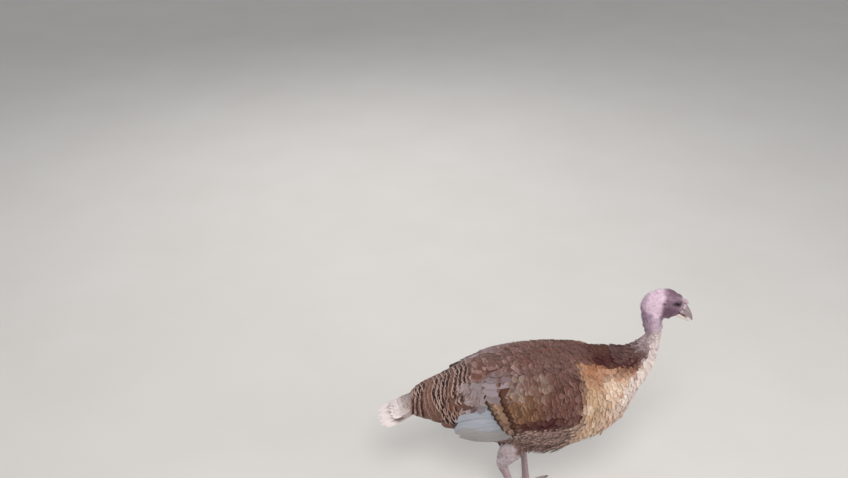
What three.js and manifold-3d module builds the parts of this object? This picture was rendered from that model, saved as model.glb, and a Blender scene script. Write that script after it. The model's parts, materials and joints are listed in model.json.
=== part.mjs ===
// A young domestic turkey of the red and white kind, standing on both feet with its head up.
// Millimetres. +X is the way the bird faces, +Y is its left side, +Z is up, and the floor is at Z = 0.
// The body forms are lofts through a few stations. They are joined, and thin cuts part them again
// where a person would name a part of the body, so neighbours stay CLEARANCE apart.
import * as THREE from "three";
import { mergeVertices } from "three/addons/utils/BufferGeometryUtils.js";
import Module from "manifold-3d";

const wasm = await Module();
wasm.setup();

const CLEARANCE = 0.4; // between two neighbouring parts
const SIDES = [
  { name: "left", sign: 1 },
  { name: "right", sign: -1 },
];

// ---------------------------------------------------------------- driving sizes

// Trunk: x, top, bottom, half width, and the height of the widest level as a share of the depth.
const TRUNK_STATIONS = [
  [-316, 351, 312, 26, 0.5],
  [-306, 361, 303, 39, 0.5],
  [-285, 375, 296, 51, 0.5],
  [-250, 393, 285, 62, 0.5],
  [-215, 411, 272, 74, 0.51],
  [-180, 430, 257, 84, 0.52],
  [-140, 446, 240, 94, 0.54],
  [-95, 458, 223, 103, 0.56],
  [-50, 465, 211, 109, 0.57],
  [0, 470, 206, 111, 0.57],
  [50, 473, 218, 109, 0.56],
  [100, 476, 239, 103, 0.55],
  [145, 478, 261, 91, 0.54],
  [175, 480, 282, 79, 0.54],
  [198, 481, 313, 64, 0.54],
  [218, 478, 356, 47, 0.54],
  [236, 468, 398, 31, 0.54],
  [247, 456, 418, 18, 0.54],
];
const TRUNK_RINGS = 21;
const TRUNK_SIDES = 24;
const TRUNK_FULLNESS = 0.9; // 1 is an ellipse, and less squares a ring off

// Neck: x and z of its middle, half its depth fore and aft, half its width.
const NECK_STATIONS = [
  [120, 398, 72, 74],
  [165, 412, 70, 68],
  [205, 438, 54, 52],
  [232, 470, 38, 38],
  [248, 502, 24, 24],
  [255, 527, 16.5, 16.5],
  [251, 547, 18.5, 17],
  [246, 566, 21.5, 18],
  [243, 588, 23.5, 18.5],
  [247, 603, 18, 15],
];
const NECK_RINGS = 15;
const NECK_SIDES = 18;

// Where the head, the bare neck, the feathered neck and the trunk meet.
const NECK_TOP = { point: [246, 0, 571], normal: [0.3, 0, 0.95] };
const NECK_BARE_EDGE = { point: [253, 0, 519], normal: [-0.1, 0, 1] };
const NECK_BASE = { point: [206, 0, 436], normal: [0.74, 0, 0.67] };

// Head, in its own frame: +X along the bill, +Z to the crown, the origin midway between the eyes.
const HEAD_PLACE = new THREE.Vector3(296, -11, 622);
const HEAD_BOW = THREE.MathUtils.degToRad(24); // bill down
const HEAD_TURN = THREE.MathUtils.degToRad(-15); // bill to the bird's right
// x, crown, throat, half width, height of the widest level
const HEAD_STATIONS = [
  [-67, -24, -44, 8, -34],
  [-63, -12, -56, 13.5, -32],
  [-54, 2, -65, 18.5, -27],
  [-42, 13, -68, 21.5, -18],
  [-28, 20, -65, 22.5, -10],
  [-14, 19.5, -59, 21.5, -3],
  [-3, 15, -51, 19.5, 1],
  [6, 11, -42, 16.5, 0],
  [13, 7, -33, 12.5, -4],
  [18, 0, -24, 7, -10],
];
const HEAD_RINGS = 14;
const HEAD_SIDES = 18;
const HEAD_FULLNESS = 0.95;

const EYE_RADIUS = 7.6;
const EYE_PLACE = new THREE.Vector3(-1.5, 12.6, 5.6); // of the left eye, in the head's frame

// Bill halves: x, upper edge, lower edge, half width.
const UPPER_BILL_STATIONS = [
  [9, 6, -16, 10.5],
  [16, 7, -17.5, 10.6],
  [24, 4.5, -18.2, 9],
  [32, 0, -18.8, 7.2],
  [40, -6, -20, 5.2],
  [47, -13.5, -22, 3.2],
  [51.5, -20, -24.5, 1.2],
];
const LOWER_BILL_STATIONS = [
  [9, -21, -33, 9],
  [16, -21.5, -32.5, 8.8],
  [26, -23, -31.5, 7],
  [36, -25, -30.5, 4.8],
  [43, -26.6, -30, 3],
  [47.5, -28, -29.6, 1.1],
];
const BILL_RINGS = 8;
const BILL_SIDES = 10;
const BILL_FLAT = 0.2; // height of a bill half's widest level, from its flat face

// Snood and tongue, in the head's frame: x and z of the middle, half depth, half width.
const SNOOD_STATIONS = [
  [0, 9, 4.6, 4.6],
  [6, 12, 5.2, 5],
  [13, 13.2, 4.9, 4.7],
  [19, 11.4, 4, 3.9],
  [22.5, 8.6, 2.2, 2.2],
];
const TONGUE_STATIONS = [
  [14, -20, 1.6, 3.6],
  [24, -20.7, 1.5, 3.2],
  [34, -22.2, 1.1, 2.1],
  [39, -23, 0.6, 0.8],
];

// Wing coverts lie as a band round the side of the trunk: x, top and bottom angle on the trunk's
// ring in degrees from its widest level, and how far they stand out.
const WING_STATIONS = [
  [-152, 48, 36, 7],
  [-139, 56, 20, 10],
  [-119, 61, 2, 12.5],
  [-95, 64, -8, 14],
  [-60, 66, -13, 15],
  [-15, 67, -15, 15],
  [30, 66, -15, 14],
  [70, 61, -13, 12.5],
  [100, 52, -8, 10],
  [122, 39, 2, 6.5],
  [131, 29, 10, 4],
];
const WING_RINGS = 13;
const WING_STEPS = 8;
const WING_ROOT_DEPTH = 3; // how far a band starts inside the trunk before the trunk is cut out of it
const WING_EDGE = { low: 0.62, high: 0.34 }; // how far the two edges stand out, against the middle

// Flight feathers: a stiff panel that runs back from under the coverts and closes in on the rump.
// Each feather is thickest along its quill, and its tip stands out between two notches. The ends
// give x, the angle on the trunk's ring in degrees, and how far the panel stands off the trunk.
const FLIGHT_FEATHERS = 8;
const FLIGHT_ROOTS = { highest: [-100, 60, 6], lowest: [-62, -20, 6] };
const FLIGHT_TIPS = { highest: [-229, 32, 9], lowest: [-199, -46, 15] };
const FLIGHT_THICK = { quill: 7, edge: 4 };
const FLIGHT_NOTCH = 7;
const FLIGHT_STEPS = 3;
const FLIGHT_TAPER = 0.4; // share of its thickness that a feather loses by its tip

// Tail: thin vanes fanned like a low roof.
const TAIL_VANES = 9;
const TAIL_ROOT = { x: -268, z: 350, half: 16 };
const TAIL_LENGTH = 143;
const TAIL_DROOP = THREE.MathUtils.degToRad(21);
const TAIL_SPREAD = THREE.MathUtils.degToRad(14); // from the middle to the outermost vane
const TAIL_ROOF = 16; // how far the outermost vane lies below the middle one
const TAIL_RINGS = 5; // rings along one feather
const TAIL_VANE = { rootHalf: 13, tipHalf: 16, rootThick: 9, tipThick: 3.4 };

// Legs. The right leg trails and the left one stands under the body.
const LEGS = {
  left: {
    thigh: [4, 50, 300],
    knee: [-22, 59, 226],
    hock: [-33, 58, 187],
    ankle: [-15, 58, 23],
  },
  right: {
    thigh: [-44, -51, 300],
    knee: [-75, -62, 226],
    hock: [-95, -62, 188],
    ankle: [-32, -62, 23],
  },
};
const THIGH_RADII = [52, 31, 15];
const THIGH_FLATNESS = 0.85; // width over depth
const SHANK_RADII = { hock: 12.5, middle: 8.4, ankle: 10.5 };
const SHANK_FLATNESS = 0.84; // width over depth
const FEATHER_LINE = 0.06; // share of the shank above which it is feathered
const FOOT_TOP = 30;

const TOES = [
  { name: "inner", length: 66, turn: 34, radius: 7.2 },
  { name: "middle", length: 86, turn: 2, radius: 7.8 },
  { name: "outer", length: 64, turn: -31, radius: 7 },
  { name: "hind", length: 31, turn: 172, radius: 5.8 },
];
const TOE_TIP_SHARE = 0.62; // tip radius over root radius
const SOLE_TRIM = 0.8; // how much of a toe the floor flattens
// Ball of the foot: how far ahead of the ankle, height, half depth, half width.
const PAD_STATIONS = [
  [-7, 12, 6, 6],
  [0, 10.5, 11.3, 11.5],
  [12, 8, 8.8, 11],
  [20, 6.5, 6, 8],
];
const CLAW_LENGTH = 13;
const CLAW_ROOT_SHARE = 0.86; // claw root radius over the toe's tip radius

// ---------------------------------------------------------------- finishes

function finish(color, roughness) {
  return new THREE.MeshStandardMaterial({ color, roughness, metalness: 0 });
}
const BARE_SKIN = finish(0xcbb0c6, 0.55);
const CREAM_FEATHER = finish(0xd9c9b8, 0.85);
const BROWN_FEATHER = finish(0x7c5547, 0.85);
const WHITE_FEATHER = finish(0xd8d6d8, 0.75);
const TAIL_FEATHER = finish(0xa8988f, 0.8);
const THIGH_FEATHER = finish(0xc9b9ab, 0.85);
const HORN = finish(0xc4b8a6, 0.4);
const TONGUE_SKIN = finish(0x9a5a62, 0.5);
const EYE_GLOSS = finish(0x120c0a, 0.08);
const LEG_SCALE = finish(0xb39aa0, 0.55);
const CLAW_HORN = finish(0x8d8078, 0.4);

// ---------------------------------------------------------------- shapes

// A smooth row of numbers through the stations, asked for by the first number of each.
function through(stations) {
  const keys = stations.map((row) => row[0]);
  const values = stations.flatMap((row) => row.slice(1));
  const spline = new THREE.CubicInterpolant(keys, values, stations[0].length - 1);
  return (key) => Array.from(spline.evaluate(key));
}

// Evenly eased steps from one end of a range to the other, closer together at both ends.
function easedSteps(from, to, count) {
  return Array.from({ length: count }, (_, i) => {
    const share = i / (count - 1);
    const eased = 0.5 - 0.5 * Math.cos(Math.PI * share);
    return from + (to - from) * THREE.MathUtils.lerp(share, eased, 0.55);
  });
}

function middleOf(points) {
  const sum = points.reduce((total, p) => total.add(p), new THREE.Vector3());
  return sum.divideScalar(points.length);
}

// Closed skin from points and faces, as a solid whose faces point outwards.
function closedSolid(points, faces) {
  const geometry = new THREE.BufferGeometry().setFromPoints(points);
  geometry.setIndex(faces);
  const merged = mergeVertices(geometry, 1e-4);
  const triVerts = Uint32Array.from(merged.index.array);
  const vertProperties = Float32Array.from(merged.attributes.position.array);
  const made = new wasm.Manifold(new wasm.Mesh({ numProp: 3, vertProperties, triVerts }));
  if (made.volume() > 0) return made;
  triVerts.reverse();
  return new wasm.Manifold(new wasm.Mesh({ numProp: 3, vertProperties, triVerts }));
}

// A solid over a row of rings with equal numbers of points, with a fan over each end.
function loft(rings) {
  const count = rings[0].length;
  const points = rings.flat();
  const lastRing = points.length - count;
  const firstMiddle = points.length;
  const lastMiddle = firstMiddle + 1;
  const faces = [];
  for (let i = 0; i < count; i++) {
    const j = (i + 1) % count;
    for (let row = 0; row < lastRing; row += count) {
      faces.push(row + i, row + j, row + count + j);
      faces.push(row + i, row + count + j, row + count + i);
    }
    faces.push(firstMiddle, j, i);
    faces.push(lastMiddle, lastRing + i, lastRing + j);
  }
  const ends = [middleOf(rings[0]), middleOf(rings.at(-1))];
  return closedSolid([...points, ...ends], faces);
}

// A solid band over rows of points, each row running out along the inside and back along the outside.
function band(rows) {
  const count = rows[0].length;
  const points = rows.flat();
  const faces = [];
  for (let row = 0; row + 1 < rows.length; row++) {
    for (let i = 0; i < count; i++) {
      const j = (i + 1) % count;
      const a = row * count;
      faces.push(a + i, a + j, a + count + j);
      faces.push(a + i, a + count + j, a + count + i);
    }
  }
  const end = (rows.length - 1) * count;
  for (let i = 0; i + 1 < count / 2; i++) {
    const k = count - 1 - i;
    faces.push(i, k, k - 1, i, k - 1, i + 1);
    faces.push(end + i, end + k - 1, end + k, end + i, end + i + 1, end + k - 1);
  }
  return closedSolid(points, faces);
}

// A cosine or sine squared off a little, so that a ring is fuller than an ellipse.
function fuller(value, power) {
  return Math.sign(value) * Math.abs(value) ** power;
}

// A ring in the YZ plane of the given place: top, bottom and widest level, and half the width.
function bodyRing(x, top, bottom, half, widest, count, power) {
  return Array.from({ length: count }, (_, i) => {
    const angle = (2 * Math.PI * i) / count;
    return bodyPoint(x, top, bottom, half, widest, angle, power);
  });
}

function bodyPoint(x, top, bottom, half, widest, angle, power) {
  const up = fuller(Math.sin(angle), power);
  const reach = up > 0 ? top - widest : widest - bottom;
  return new THREE.Vector3(x, half * fuller(Math.cos(angle), power), widest + reach * up);
}

// A tube through stations of [middle, half depth, half width], with its width kept level along Y.
function limb(stations, ringCount, sideCount, grow = 0) {
  const path = new THREE.CatmullRomCurve3(stations.map((s) => s[0]));
  const sizes = through(stations.map((s, i) => [i / (stations.length - 1), s[1], s[2]]));
  const rings = [];
  for (let r = 0; r < ringCount; r++) {
    const share = r / (ringCount - 1);
    const along = path.getTangent(share);
    const middle = path.getPoint(share);
    if (r === 0) middle.addScaledVector(along, -grow);
    if (r === ringCount - 1) middle.addScaledVector(along, grow);
    const across = new THREE.Vector3(0, 1, 0).addScaledVector(along, -along.y).normalize();
    const out = new THREE.Vector3().crossVectors(across, along);
    const [depth, width] = sizes(share);
    rings.push(
      Array.from({ length: sideCount }, (_, i) => {
        const angle = (2 * Math.PI * i) / sideCount;
        return middle
          .clone()
          .addScaledVector(out, (depth + grow) * Math.cos(angle))
          .addScaledVector(across, (width + grow) * Math.sin(angle));
      }),
    );
  }
  return loft(rings);
}

function joined(solids) {
  return solids.reduce((sum, next) => sum.add(next));
}

// The largest body of a solid, without the slivers that a cut can leave beside it.
function mainBody(solid) {
  return solid.decompose().reduce((best, next) => (next.volume() > best.volume() ? next : best));
}

// The two pieces of a solid on each side of a plane through a point, CLEARANCE apart.
function parted(whole, point, normal) {
  const n = new THREE.Vector3(...normal).normalize();
  const offset = n.dot(new THREE.Vector3(...point));
  const ahead = whole.trimByPlane([n.x, n.y, n.z], offset + CLEARANCE / 2);
  const behind = whole.trimByPlane([-n.x, -n.y, -n.z], CLEARANCE / 2 - offset);
  return [ahead, behind];
}

function placed(solid, matrix) {
  const mesh = solid.getMesh();
  const points = [];
  for (let i = 0; i < mesh.vertProperties.length; i += mesh.numProp) {
    const point = new THREE.Vector3().fromArray(mesh.vertProperties, i);
    points.push(point.applyMatrix4(matrix));
  }
  return closedSolid(points, Array.from(mesh.triVerts));
}

// ---------------------------------------------------------------- trunk and neck

const trunkAt = through(TRUNK_STATIONS);

function trunkSection(x, grow) {
  const [top, bottom, half, widestShare] = trunkAt(x);
  const widest = bottom + widestShare * (top - bottom);
  return { top: top + grow, bottom: bottom - grow, half: half + grow, widest };
}

function trunkPoint(x, degrees, grow, sign = 1) {
  const { top, bottom, half, widest } = trunkSection(x, grow);
  const angle = THREE.MathUtils.degToRad(degrees);
  const point = bodyPoint(x, top, bottom, half, widest, angle, TRUNK_FULLNESS);
  point.y *= sign;
  return point;
}

function trunkForm(grow = 0) {
  const first = TRUNK_STATIONS[0][0];
  const last = TRUNK_STATIONS.at(-1)[0];
  const rings = easedSteps(first, last, TRUNK_RINGS).map((x) => {
    const { top, bottom, half, widest } = trunkSection(x, grow);
    const reach = x === first ? -grow : x === last ? grow : 0;
    return bodyRing(x + reach, top, bottom, half, widest, TRUNK_SIDES, TRUNK_FULLNESS);
  });
  return loft(rings);
}

function neckForm(grow = 0) {
  const stations = NECK_STATIONS.map(([x, z, depth, width]) => [
    new THREE.Vector3(x, 0, z),
    depth,
    width,
  ]);
  return limb(stations, NECK_RINGS, NECK_SIDES, grow);
}

// ---------------------------------------------------------------- head

const HEAD_FRAME = new THREE.Matrix4()
  .makeTranslation(HEAD_PLACE)
  .multiply(new THREE.Matrix4().makeRotationZ(HEAD_TURN))
  .multiply(new THREE.Matrix4().makeRotationY(HEAD_BOW));

function fromHead(x, y, z) {
  return new THREE.Vector3(x, y, z).applyMatrix4(HEAD_FRAME);
}

function headForm(grow = 0) {
  const at = through(HEAD_STATIONS);
  const first = HEAD_STATIONS[0][0];
  const last = HEAD_STATIONS.at(-1)[0];
  const rings = easedSteps(first, last, HEAD_RINGS).map((x) => {
    const [top, bottom, half, widest] = at(x);
    const reach = x === first ? -grow : x === last ? grow : 0;
    const [high, low, wide] = [top + grow, bottom - grow, half + grow];
    return bodyRing(x + reach, high, low, wide, widest, HEAD_SIDES, HEAD_FULLNESS);
  });
  return placed(loft(rings), HEAD_FRAME);
}

function eyeForm(sign, grow = 0) {
  const ball = new THREE.SphereGeometry(EYE_RADIUS + grow, 12, 9);
  const middle = fromHead(EYE_PLACE.x, EYE_PLACE.y * sign, EYE_PLACE.z);
  ball.translate(middle.x, middle.y, middle.z);
  ball.deleteAttribute("normal");
  ball.deleteAttribute("uv");
  const merged = mergeVertices(ball, 1e-4);
  const points = [];
  for (let i = 0; i < merged.attributes.position.count; i++) {
    points.push(new THREE.Vector3().fromBufferAttribute(merged.attributes.position, i));
  }
  return closedSolid(points, Array.from(merged.index.array));
}

// Half a bill: its rings are fuller on the outside and flat where the two halves face each other.
function billForm(stations, flatBelow, grow = 0) {
  const at = through(stations);
  const first = stations[0][0];
  const last = stations.at(-1)[0];
  const rings = easedSteps(first, last, BILL_RINGS).map((x) => {
    const [top, bottom, half] = at(x);
    const depth = top - bottom;
    const widest = flatBelow ? bottom + BILL_FLAT * depth : top - BILL_FLAT * depth;
    return bodyRing(x, top + grow, bottom - grow, half + grow, widest, BILL_SIDES, TRUNK_FULLNESS);
  });
  return placed(loft(rings), HEAD_FRAME);
}

function headLimb(stations, ringCount, sideCount) {
  const placedStations = stations.map(([x, z, depth, width]) => [fromHead(x, 0, z), depth, width]);
  return limb(placedStations, ringCount, sideCount);
}

// The snood: a short soft finger of skin on the forehead, lying forward over the root of the bill.
function snoodForm() {
  return headLimb(SNOOD_STATIONS, 7, 10);
}

function tongueForm() {
  return headLimb(TONGUE_STATIONS, 5, 8);
}

// ---------------------------------------------------------------- wings

const wingAt = through(WING_STATIONS);

function wingForm(sign, grow = 0) {
  const first = WING_STATIONS[0][0];
  const last = WING_STATIONS.at(-1)[0];
  const rows = easedSteps(first, last, WING_RINGS).map((x) => {
    const [high, low, stand] = wingAt(x);
    const reach = x === first ? -grow : x === last ? grow : 0;
    const spare = grow * 0.6; // degrees that match the growth at the edge of the band
    const inside = [];
    const outside = [];
    for (let i = 0; i <= WING_STEPS; i++) {
      const share = i / WING_STEPS;
      const degrees = THREE.MathUtils.lerp(low - spare, high + spare, share);
      const edge = THREE.MathUtils.lerp(WING_EDGE.low, WING_EDGE.high, share);
      const crown = edge + (1 - edge) * Math.sin(Math.PI * share) ** 0.6;
      inside.push(trunkPoint(x, degrees, -WING_ROOT_DEPTH, sign));
      outside.push(trunkPoint(x, degrees, stand * crown + grow, sign));
    }
    const row = [...inside, ...outside.reverse()];
    row.forEach((point) => (point.x += reach));
    return row;
  });
  return band(rows);
}

function between(ends, share) {
  return ends.highest.map((high, i) => THREE.MathUtils.lerp(high, ends.lowest[i], share));
}

function flightRow(index, sign, grow) {
  const last = 2 * FLIGHT_FEATHERS;
  const onQuill = index % 2 === 1;
  const root = between(FLIGHT_ROOTS, index / last);
  const tip = between(FLIGHT_TIPS, index / last);
  tip[0] += (onQuill ? 0 : FLIGHT_NOTCH) - grow;
  const spare = index === 0 ? grow : index === last ? -grow : 0;
  const half = (onQuill ? FLIGHT_THICK.quill : FLIGHT_THICK.edge) / 2;
  const inside = [];
  const outside = [];
  for (let i = 0; i <= FLIGHT_STEPS; i++) {
    const along = i / FLIGHT_STEPS;
    const [x, degrees, stand] = root.map((start, k) => THREE.MathUtils.lerp(start, tip[k], along));
    const thin = half * (1 - FLIGHT_TAPER * along) + grow;
    inside.push(trunkPoint(x, degrees + spare, stand - thin, sign));
    outside.push(trunkPoint(x, degrees + spare, stand + thin, sign));
  }
  return [...inside, ...outside.reverse()];
}

function flightForm(sign, grow = 0) {
  const rows = Array.from({ length: 2 * FLIGHT_FEATHERS + 1 }, (_, i) => flightRow(i, sign, grow));
  return band(rows);
}

// ---------------------------------------------------------------- tail

// A stiff feather: a flat vane along a bent line, thickest down its middle, with a round tip.
function vane(line, across, sizes) {
  const [root, bend, tip] = line;
  const path = new THREE.QuadraticBezierCurve3(root, bend, tip);
  const rings = [];
  for (let r = 0; r < TAIL_RINGS; r++) {
    const share = Math.sin((0.5 * Math.PI * r) / (TAIL_RINGS - 1));
    const along = path.getTangent(share);
    const side = across.clone().addScaledVector(along, -along.dot(across)).normalize();
    const face = new THREE.Vector3().crossVectors(side, along);
    const round = Math.sqrt(1.02 - share ** 8);
    const half = THREE.MathUtils.lerp(sizes.rootHalf, sizes.tipHalf, share) * round;
    const thick = THREE.MathUtils.lerp(sizes.rootThick, sizes.tipThick, share) / 2;
    const middle = path.getPoint(share);
    const corners = [
      [-half, 0],
      [0, thick],
      [half, 0],
      [0, -thick],
    ];
    rings.push(
      corners.map(([a, b]) => middle.clone().addScaledVector(side, a).addScaledVector(face, b)),
    );
  }
  return loft(rings);
}

function tailForm() {
  const vanes = [];
  for (let i = 0; i < TAIL_VANES; i++) {
    const side = (2 * i) / (TAIL_VANES - 1) - 1;
    const turn = side * TAIL_SPREAD;
    const length = TAIL_LENGTH * (1 - 0.06 * side ** 2);
    const drop = side ** 2 * TAIL_ROOF;
    const root = new THREE.Vector3(TAIL_ROOT.x, side * TAIL_ROOT.half, TAIL_ROOT.z - 0.4 * drop);
    const back = new THREE.Vector3(-Math.cos(turn), Math.sin(turn), -Math.tan(TAIL_DROOP));
    const tip = root.clone().addScaledVector(back.normalize(), length);
    tip.z -= 0.6 * drop;
    const bend = new THREE.Vector3().lerpVectors(root, tip, 0.5);
    bend.z += 3;
    const across = new THREE.Vector3(0, 1, -side * 0.35);
    vanes.push(vane([root, bend, tip], across, TAIL_VANE));
  }
  return joined(vanes);
}

// ---------------------------------------------------------------- legs

function thighForm(leg, grow = 0) {
  const [top, knee, hock] = [leg.thigh, leg.knee, leg.hock].map((p) => new THREE.Vector3(...p));
  const stations = [
    [top, THIGH_RADII[0], THIGH_RADII[0] * THIGH_FLATNESS],
    [knee, THIGH_RADII[1], THIGH_RADII[1] * THIGH_FLATNESS],
    [hock, THIGH_RADII[2], THIGH_RADII[2] * THIGH_FLATNESS],
  ];
  return limb(stations, 7, 12, grow);
}

function shankForm(leg) {
  const hock = new THREE.Vector3(...leg.hock);
  const ankle = new THREE.Vector3(...leg.ankle);
  const at = (share) => new THREE.Vector3().lerpVectors(hock, ankle, share);
  const station = (share, radius) => [at(share), radius, radius * SHANK_FLATNESS];
  const stations = [
    station(-0.05, SHANK_RADII.hock * 0.8),
    station(0.05, SHANK_RADII.hock),
    station(0.16, (SHANK_RADII.hock + SHANK_RADII.middle) / 2),
    station(0.35, SHANK_RADII.middle),
    station(0.65, SHANK_RADII.middle),
    station(0.88, (SHANK_RADII.ankle + SHANK_RADII.middle) / 2),
    station(1, SHANK_RADII.ankle),
    station(1.05, SHANK_RADII.ankle * 0.85),
  ];
  return limb(stations, 11, 12);
}

// Direction of a toe in plan, mirrored between the two feet.
function toeDirection(toe, sign) {
  const turn = THREE.MathUtils.degToRad(-toe.turn * sign);
  return new THREE.Vector3(Math.cos(turn), Math.sin(turn), 0);
}

function toeForm(leg, toe, sign) {
  const out = toeDirection(toe, sign);
  const ankle = new THREE.Vector3(leg.ankle[0], leg.ankle[1], 0);
  const tip = toe.radius * TOE_TIP_SHARE;
  const station = (along, radius, height) => {
    const middle = ankle.clone().addScaledVector(out, along * toe.length);
    middle.z = height;
    return [middle, radius, radius];
  };
  const stations = [
    station(0, toe.radius * 1.15, 17),
    station(0.16, toe.radius * 1.05, 10.5),
    station(0.34, toe.radius, toe.radius - SOLE_TRIM),
    station(0.56, toe.radius * 0.84, toe.radius * 0.84 - SOLE_TRIM),
    station(0.78, toe.radius * 0.78, toe.radius * 0.78 - SOLE_TRIM),
    station(1, tip, tip - SOLE_TRIM),
  ];
  return limb(stations, 6, 8);
}

function footForm(leg, sign) {
  const [x, y] = leg.ankle;
  const stations = PAD_STATIONS.map(([ahead, z, depth, width]) => [
    new THREE.Vector3(x + ahead, y, z),
    depth,
    width,
  ]);
  const pad = limb(stations, 5, 10);
  const toes = TOES.map((toe) => toeForm(leg, toe, sign));
  return joined([pad, ...toes]).trimByPlane([0, 0, 1], 0);
}

// A claw: a short curved cone that starts just past the toe and ends just above the floor.
function clawForm(leg, toe, sign) {
  const out = toeDirection(toe, sign);
  const radius = toe.radius * TOE_TIP_SHARE;
  const root = radius * CLAW_ROOT_SHARE;
  const start = new THREE.Vector3(leg.ankle[0], leg.ankle[1], radius - SOLE_TRIM + 0.4);
  start.addScaledVector(out, toe.length + CLEARANCE);
  const length = CLAW_LENGTH * (toe.name === "middle" ? 1.12 : 1);
  const station = (along, size, drop) => {
    const middle = start.clone().addScaledVector(out, along * length);
    middle.z -= drop;
    return [middle, root * size, root * size * 0.85];
  };
  const stations = [
    station(0, 0.94, 0),
    station(0.3, 0.8, 0.1),
    station(0.65, 0.5, root * 0.3),
    station(1, 0.12, root * 0.55),
  ];
  return limb(stations, 4, 6);
}

// ---------------------------------------------------------------- the bird

const bird = new THREE.Group();

// A named mesh whose own origin is the pivot, the place where the part would turn or be held.
function addPart(name, solid, pivot, material) {
  const mesh = solid.getMesh();
  const geometry = new THREE.BufferGeometry();
  const positions = new Float32Array(mesh.vertProperties);
  geometry.setAttribute("position", new THREE.BufferAttribute(positions, 3));
  geometry.setIndex(Array.from(mesh.triVerts));
  geometry.translate(-pivot.x, -pivot.y, -pivot.z);
  const faceted = geometry.toNonIndexed();
  faceted.computeVertexNormals();
  const part = new THREE.Mesh(faceted, material);
  part.name = name;
  part.position.copy(pivot);
  bird.add(part);
}

const trunkGrown = trunkForm(CLEARANCE);
const wings = {};
const flights = {};
for (const { name, sign } of SIDES) {
  wings[name] = mainBody(wingForm(sign).subtract(trunkGrown));
  const flight = flightForm(sign).subtract(trunkGrown).subtract(wingForm(sign, CLEARANCE));
  flights[name] = mainBody(flight);
}

// Head, neck and trunk are one form, cut where the parts are named.
const sockets = joined(SIDES.map(({ sign }) => eyeForm(sign, CLEARANCE)));
const upperBillCut = billForm(UPPER_BILL_STATIONS, true, CLEARANCE);
const wholeBody = joined([trunkForm(), neckForm(), headForm()]);
const [head, belowHead] = parted(wholeBody, NECK_TOP.point, NECK_TOP.normal);
const [neckUpper, belowBareNeck] = parted(belowHead, NECK_BARE_EDGE.point, NECK_BARE_EDGE.normal);
const [neckLower, trunkWhole] = parted(belowBareNeck, NECK_BASE.point, NECK_BASE.normal);
const wingsGrown = joined(SIDES.map(({ sign }) => wingForm(sign, CLEARANCE)));
const flightsGrown = joined(SIDES.map(({ sign }) => flightForm(sign, CLEARANCE)));

const headGrown = headForm(CLEARANCE);
const tongue = tongueForm();
addPart("head", head.subtract(sockets), fromHead(-40, 0, -50), BARE_SKIN);
addPart("bill_upper", billForm(UPPER_BILL_STATIONS, true).subtract(headGrown), fromHead(14, 0, -6), HORN);
addPart("bill_lower", billForm(LOWER_BILL_STATIONS, false).subtract(headGrown), fromHead(14, 0, -26), HORN);
addPart("tongue", tongue.subtract(headGrown), fromHead(18, 0, -20), TONGUE_SKIN);
addPart("snood", snoodForm().subtract(headGrown).subtract(upperBillCut), fromHead(3, 0, 10), BARE_SKIN);
for (const { name, sign } of SIDES) {
  const pivot = fromHead(EYE_PLACE.x, EYE_PLACE.y * sign, EYE_PLACE.z);
  addPart("eye_" + name, eyeForm(sign), pivot, EYE_GLOSS);
}
addPart("neck_upper", neckUpper, new THREE.Vector3(...NECK_BARE_EDGE.point), BARE_SKIN);
addPart("neck_lower", neckLower, new THREE.Vector3(...NECK_BASE.point), CREAM_FEATHER);
addPart("trunk", trunkWhole, new THREE.Vector3(0, 0, 340), BROWN_FEATHER);
const tailPivot = new THREE.Vector3(TAIL_ROOT.x, 0, TAIL_ROOT.z);
addPart("tail", tailForm().subtract(trunkGrown), tailPivot, TAIL_FEATHER);

for (const { name, sign } of SIDES) {
  const shoulder = trunkPoint(110, 15, 0, sign);
  const wrist = trunkPoint(...between(FLIGHT_ROOTS, 0.5), sign);
  addPart("wing_" + name, wings[name], shoulder, BROWN_FEATHER);
  addPart("flight_" + name, flights[name], wrist, WHITE_FEATHER);
}

for (const { name, sign } of SIDES) {
  const leg = LEGS[name];
  const hock = new THREE.Vector3(...leg.hock);
  const ankle = new THREE.Vector3(...leg.ankle);
  const down = new THREE.Vector3().subVectors(ankle, hock);
  const line = hock.clone().addScaledVector(down, FEATHER_LINE);
  const whole = joined([thighForm(leg), shankForm(leg), footForm(leg, sign)])
    .subtract(trunkGrown)
    .subtract(wingsGrown)
    .subtract(flightsGrown);
  const [belowLine, thigh] = parted(whole, line.toArray(), down.toArray());
  const [shank, foot] = parted(belowLine, [0, 0, FOOT_TOP], [0, 0, 1]);
  addPart("thigh_" + name, thigh, new THREE.Vector3(...leg.thigh), THIGH_FEATHER);
  addPart("shank_" + name, shank, hock, LEG_SCALE);
  addPart("foot_" + name, foot, ankle, LEG_SCALE);
  for (const toe of TOES) {
    const pivot = ankle.clone().addScaledVector(toeDirection(toe, sign), toe.length);
    pivot.z = toe.radius * TOE_TIP_SHARE;
    addPart("claw_" + toe.name + "_" + name, clawForm(leg, toe, sign), pivot, CLAW_HORN);
  }
}

// The part's origin is the middle of its box, on the floor.
const box = new THREE.Box3().setFromObject(bird);
const middle = box.getCenter(new THREE.Vector3());
bird.position.set(-middle.x, -middle.y, -box.min.z);

const turkey = new THREE.Group();
turkey.name = "domestic_turkey";
turkey.add(bird);

export default turkey;
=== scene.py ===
# A domestic turkey, brown, buff and white, dressed over its solids: one skin, a coat of feathers
# laid over it, and finished eyes, bill and claws. Metres, in the part's own frame.
# The bird's own sizes are in millimetres: +X is the way it faces, +Y its left side, +Z up.
import json
import math
from contextlib import contextmanager

import bmesh
import bpy
import numpy as np
from mathutils import Matrix, Vector, kdtree
from mathutils.bvhtree import BVHTree

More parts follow.
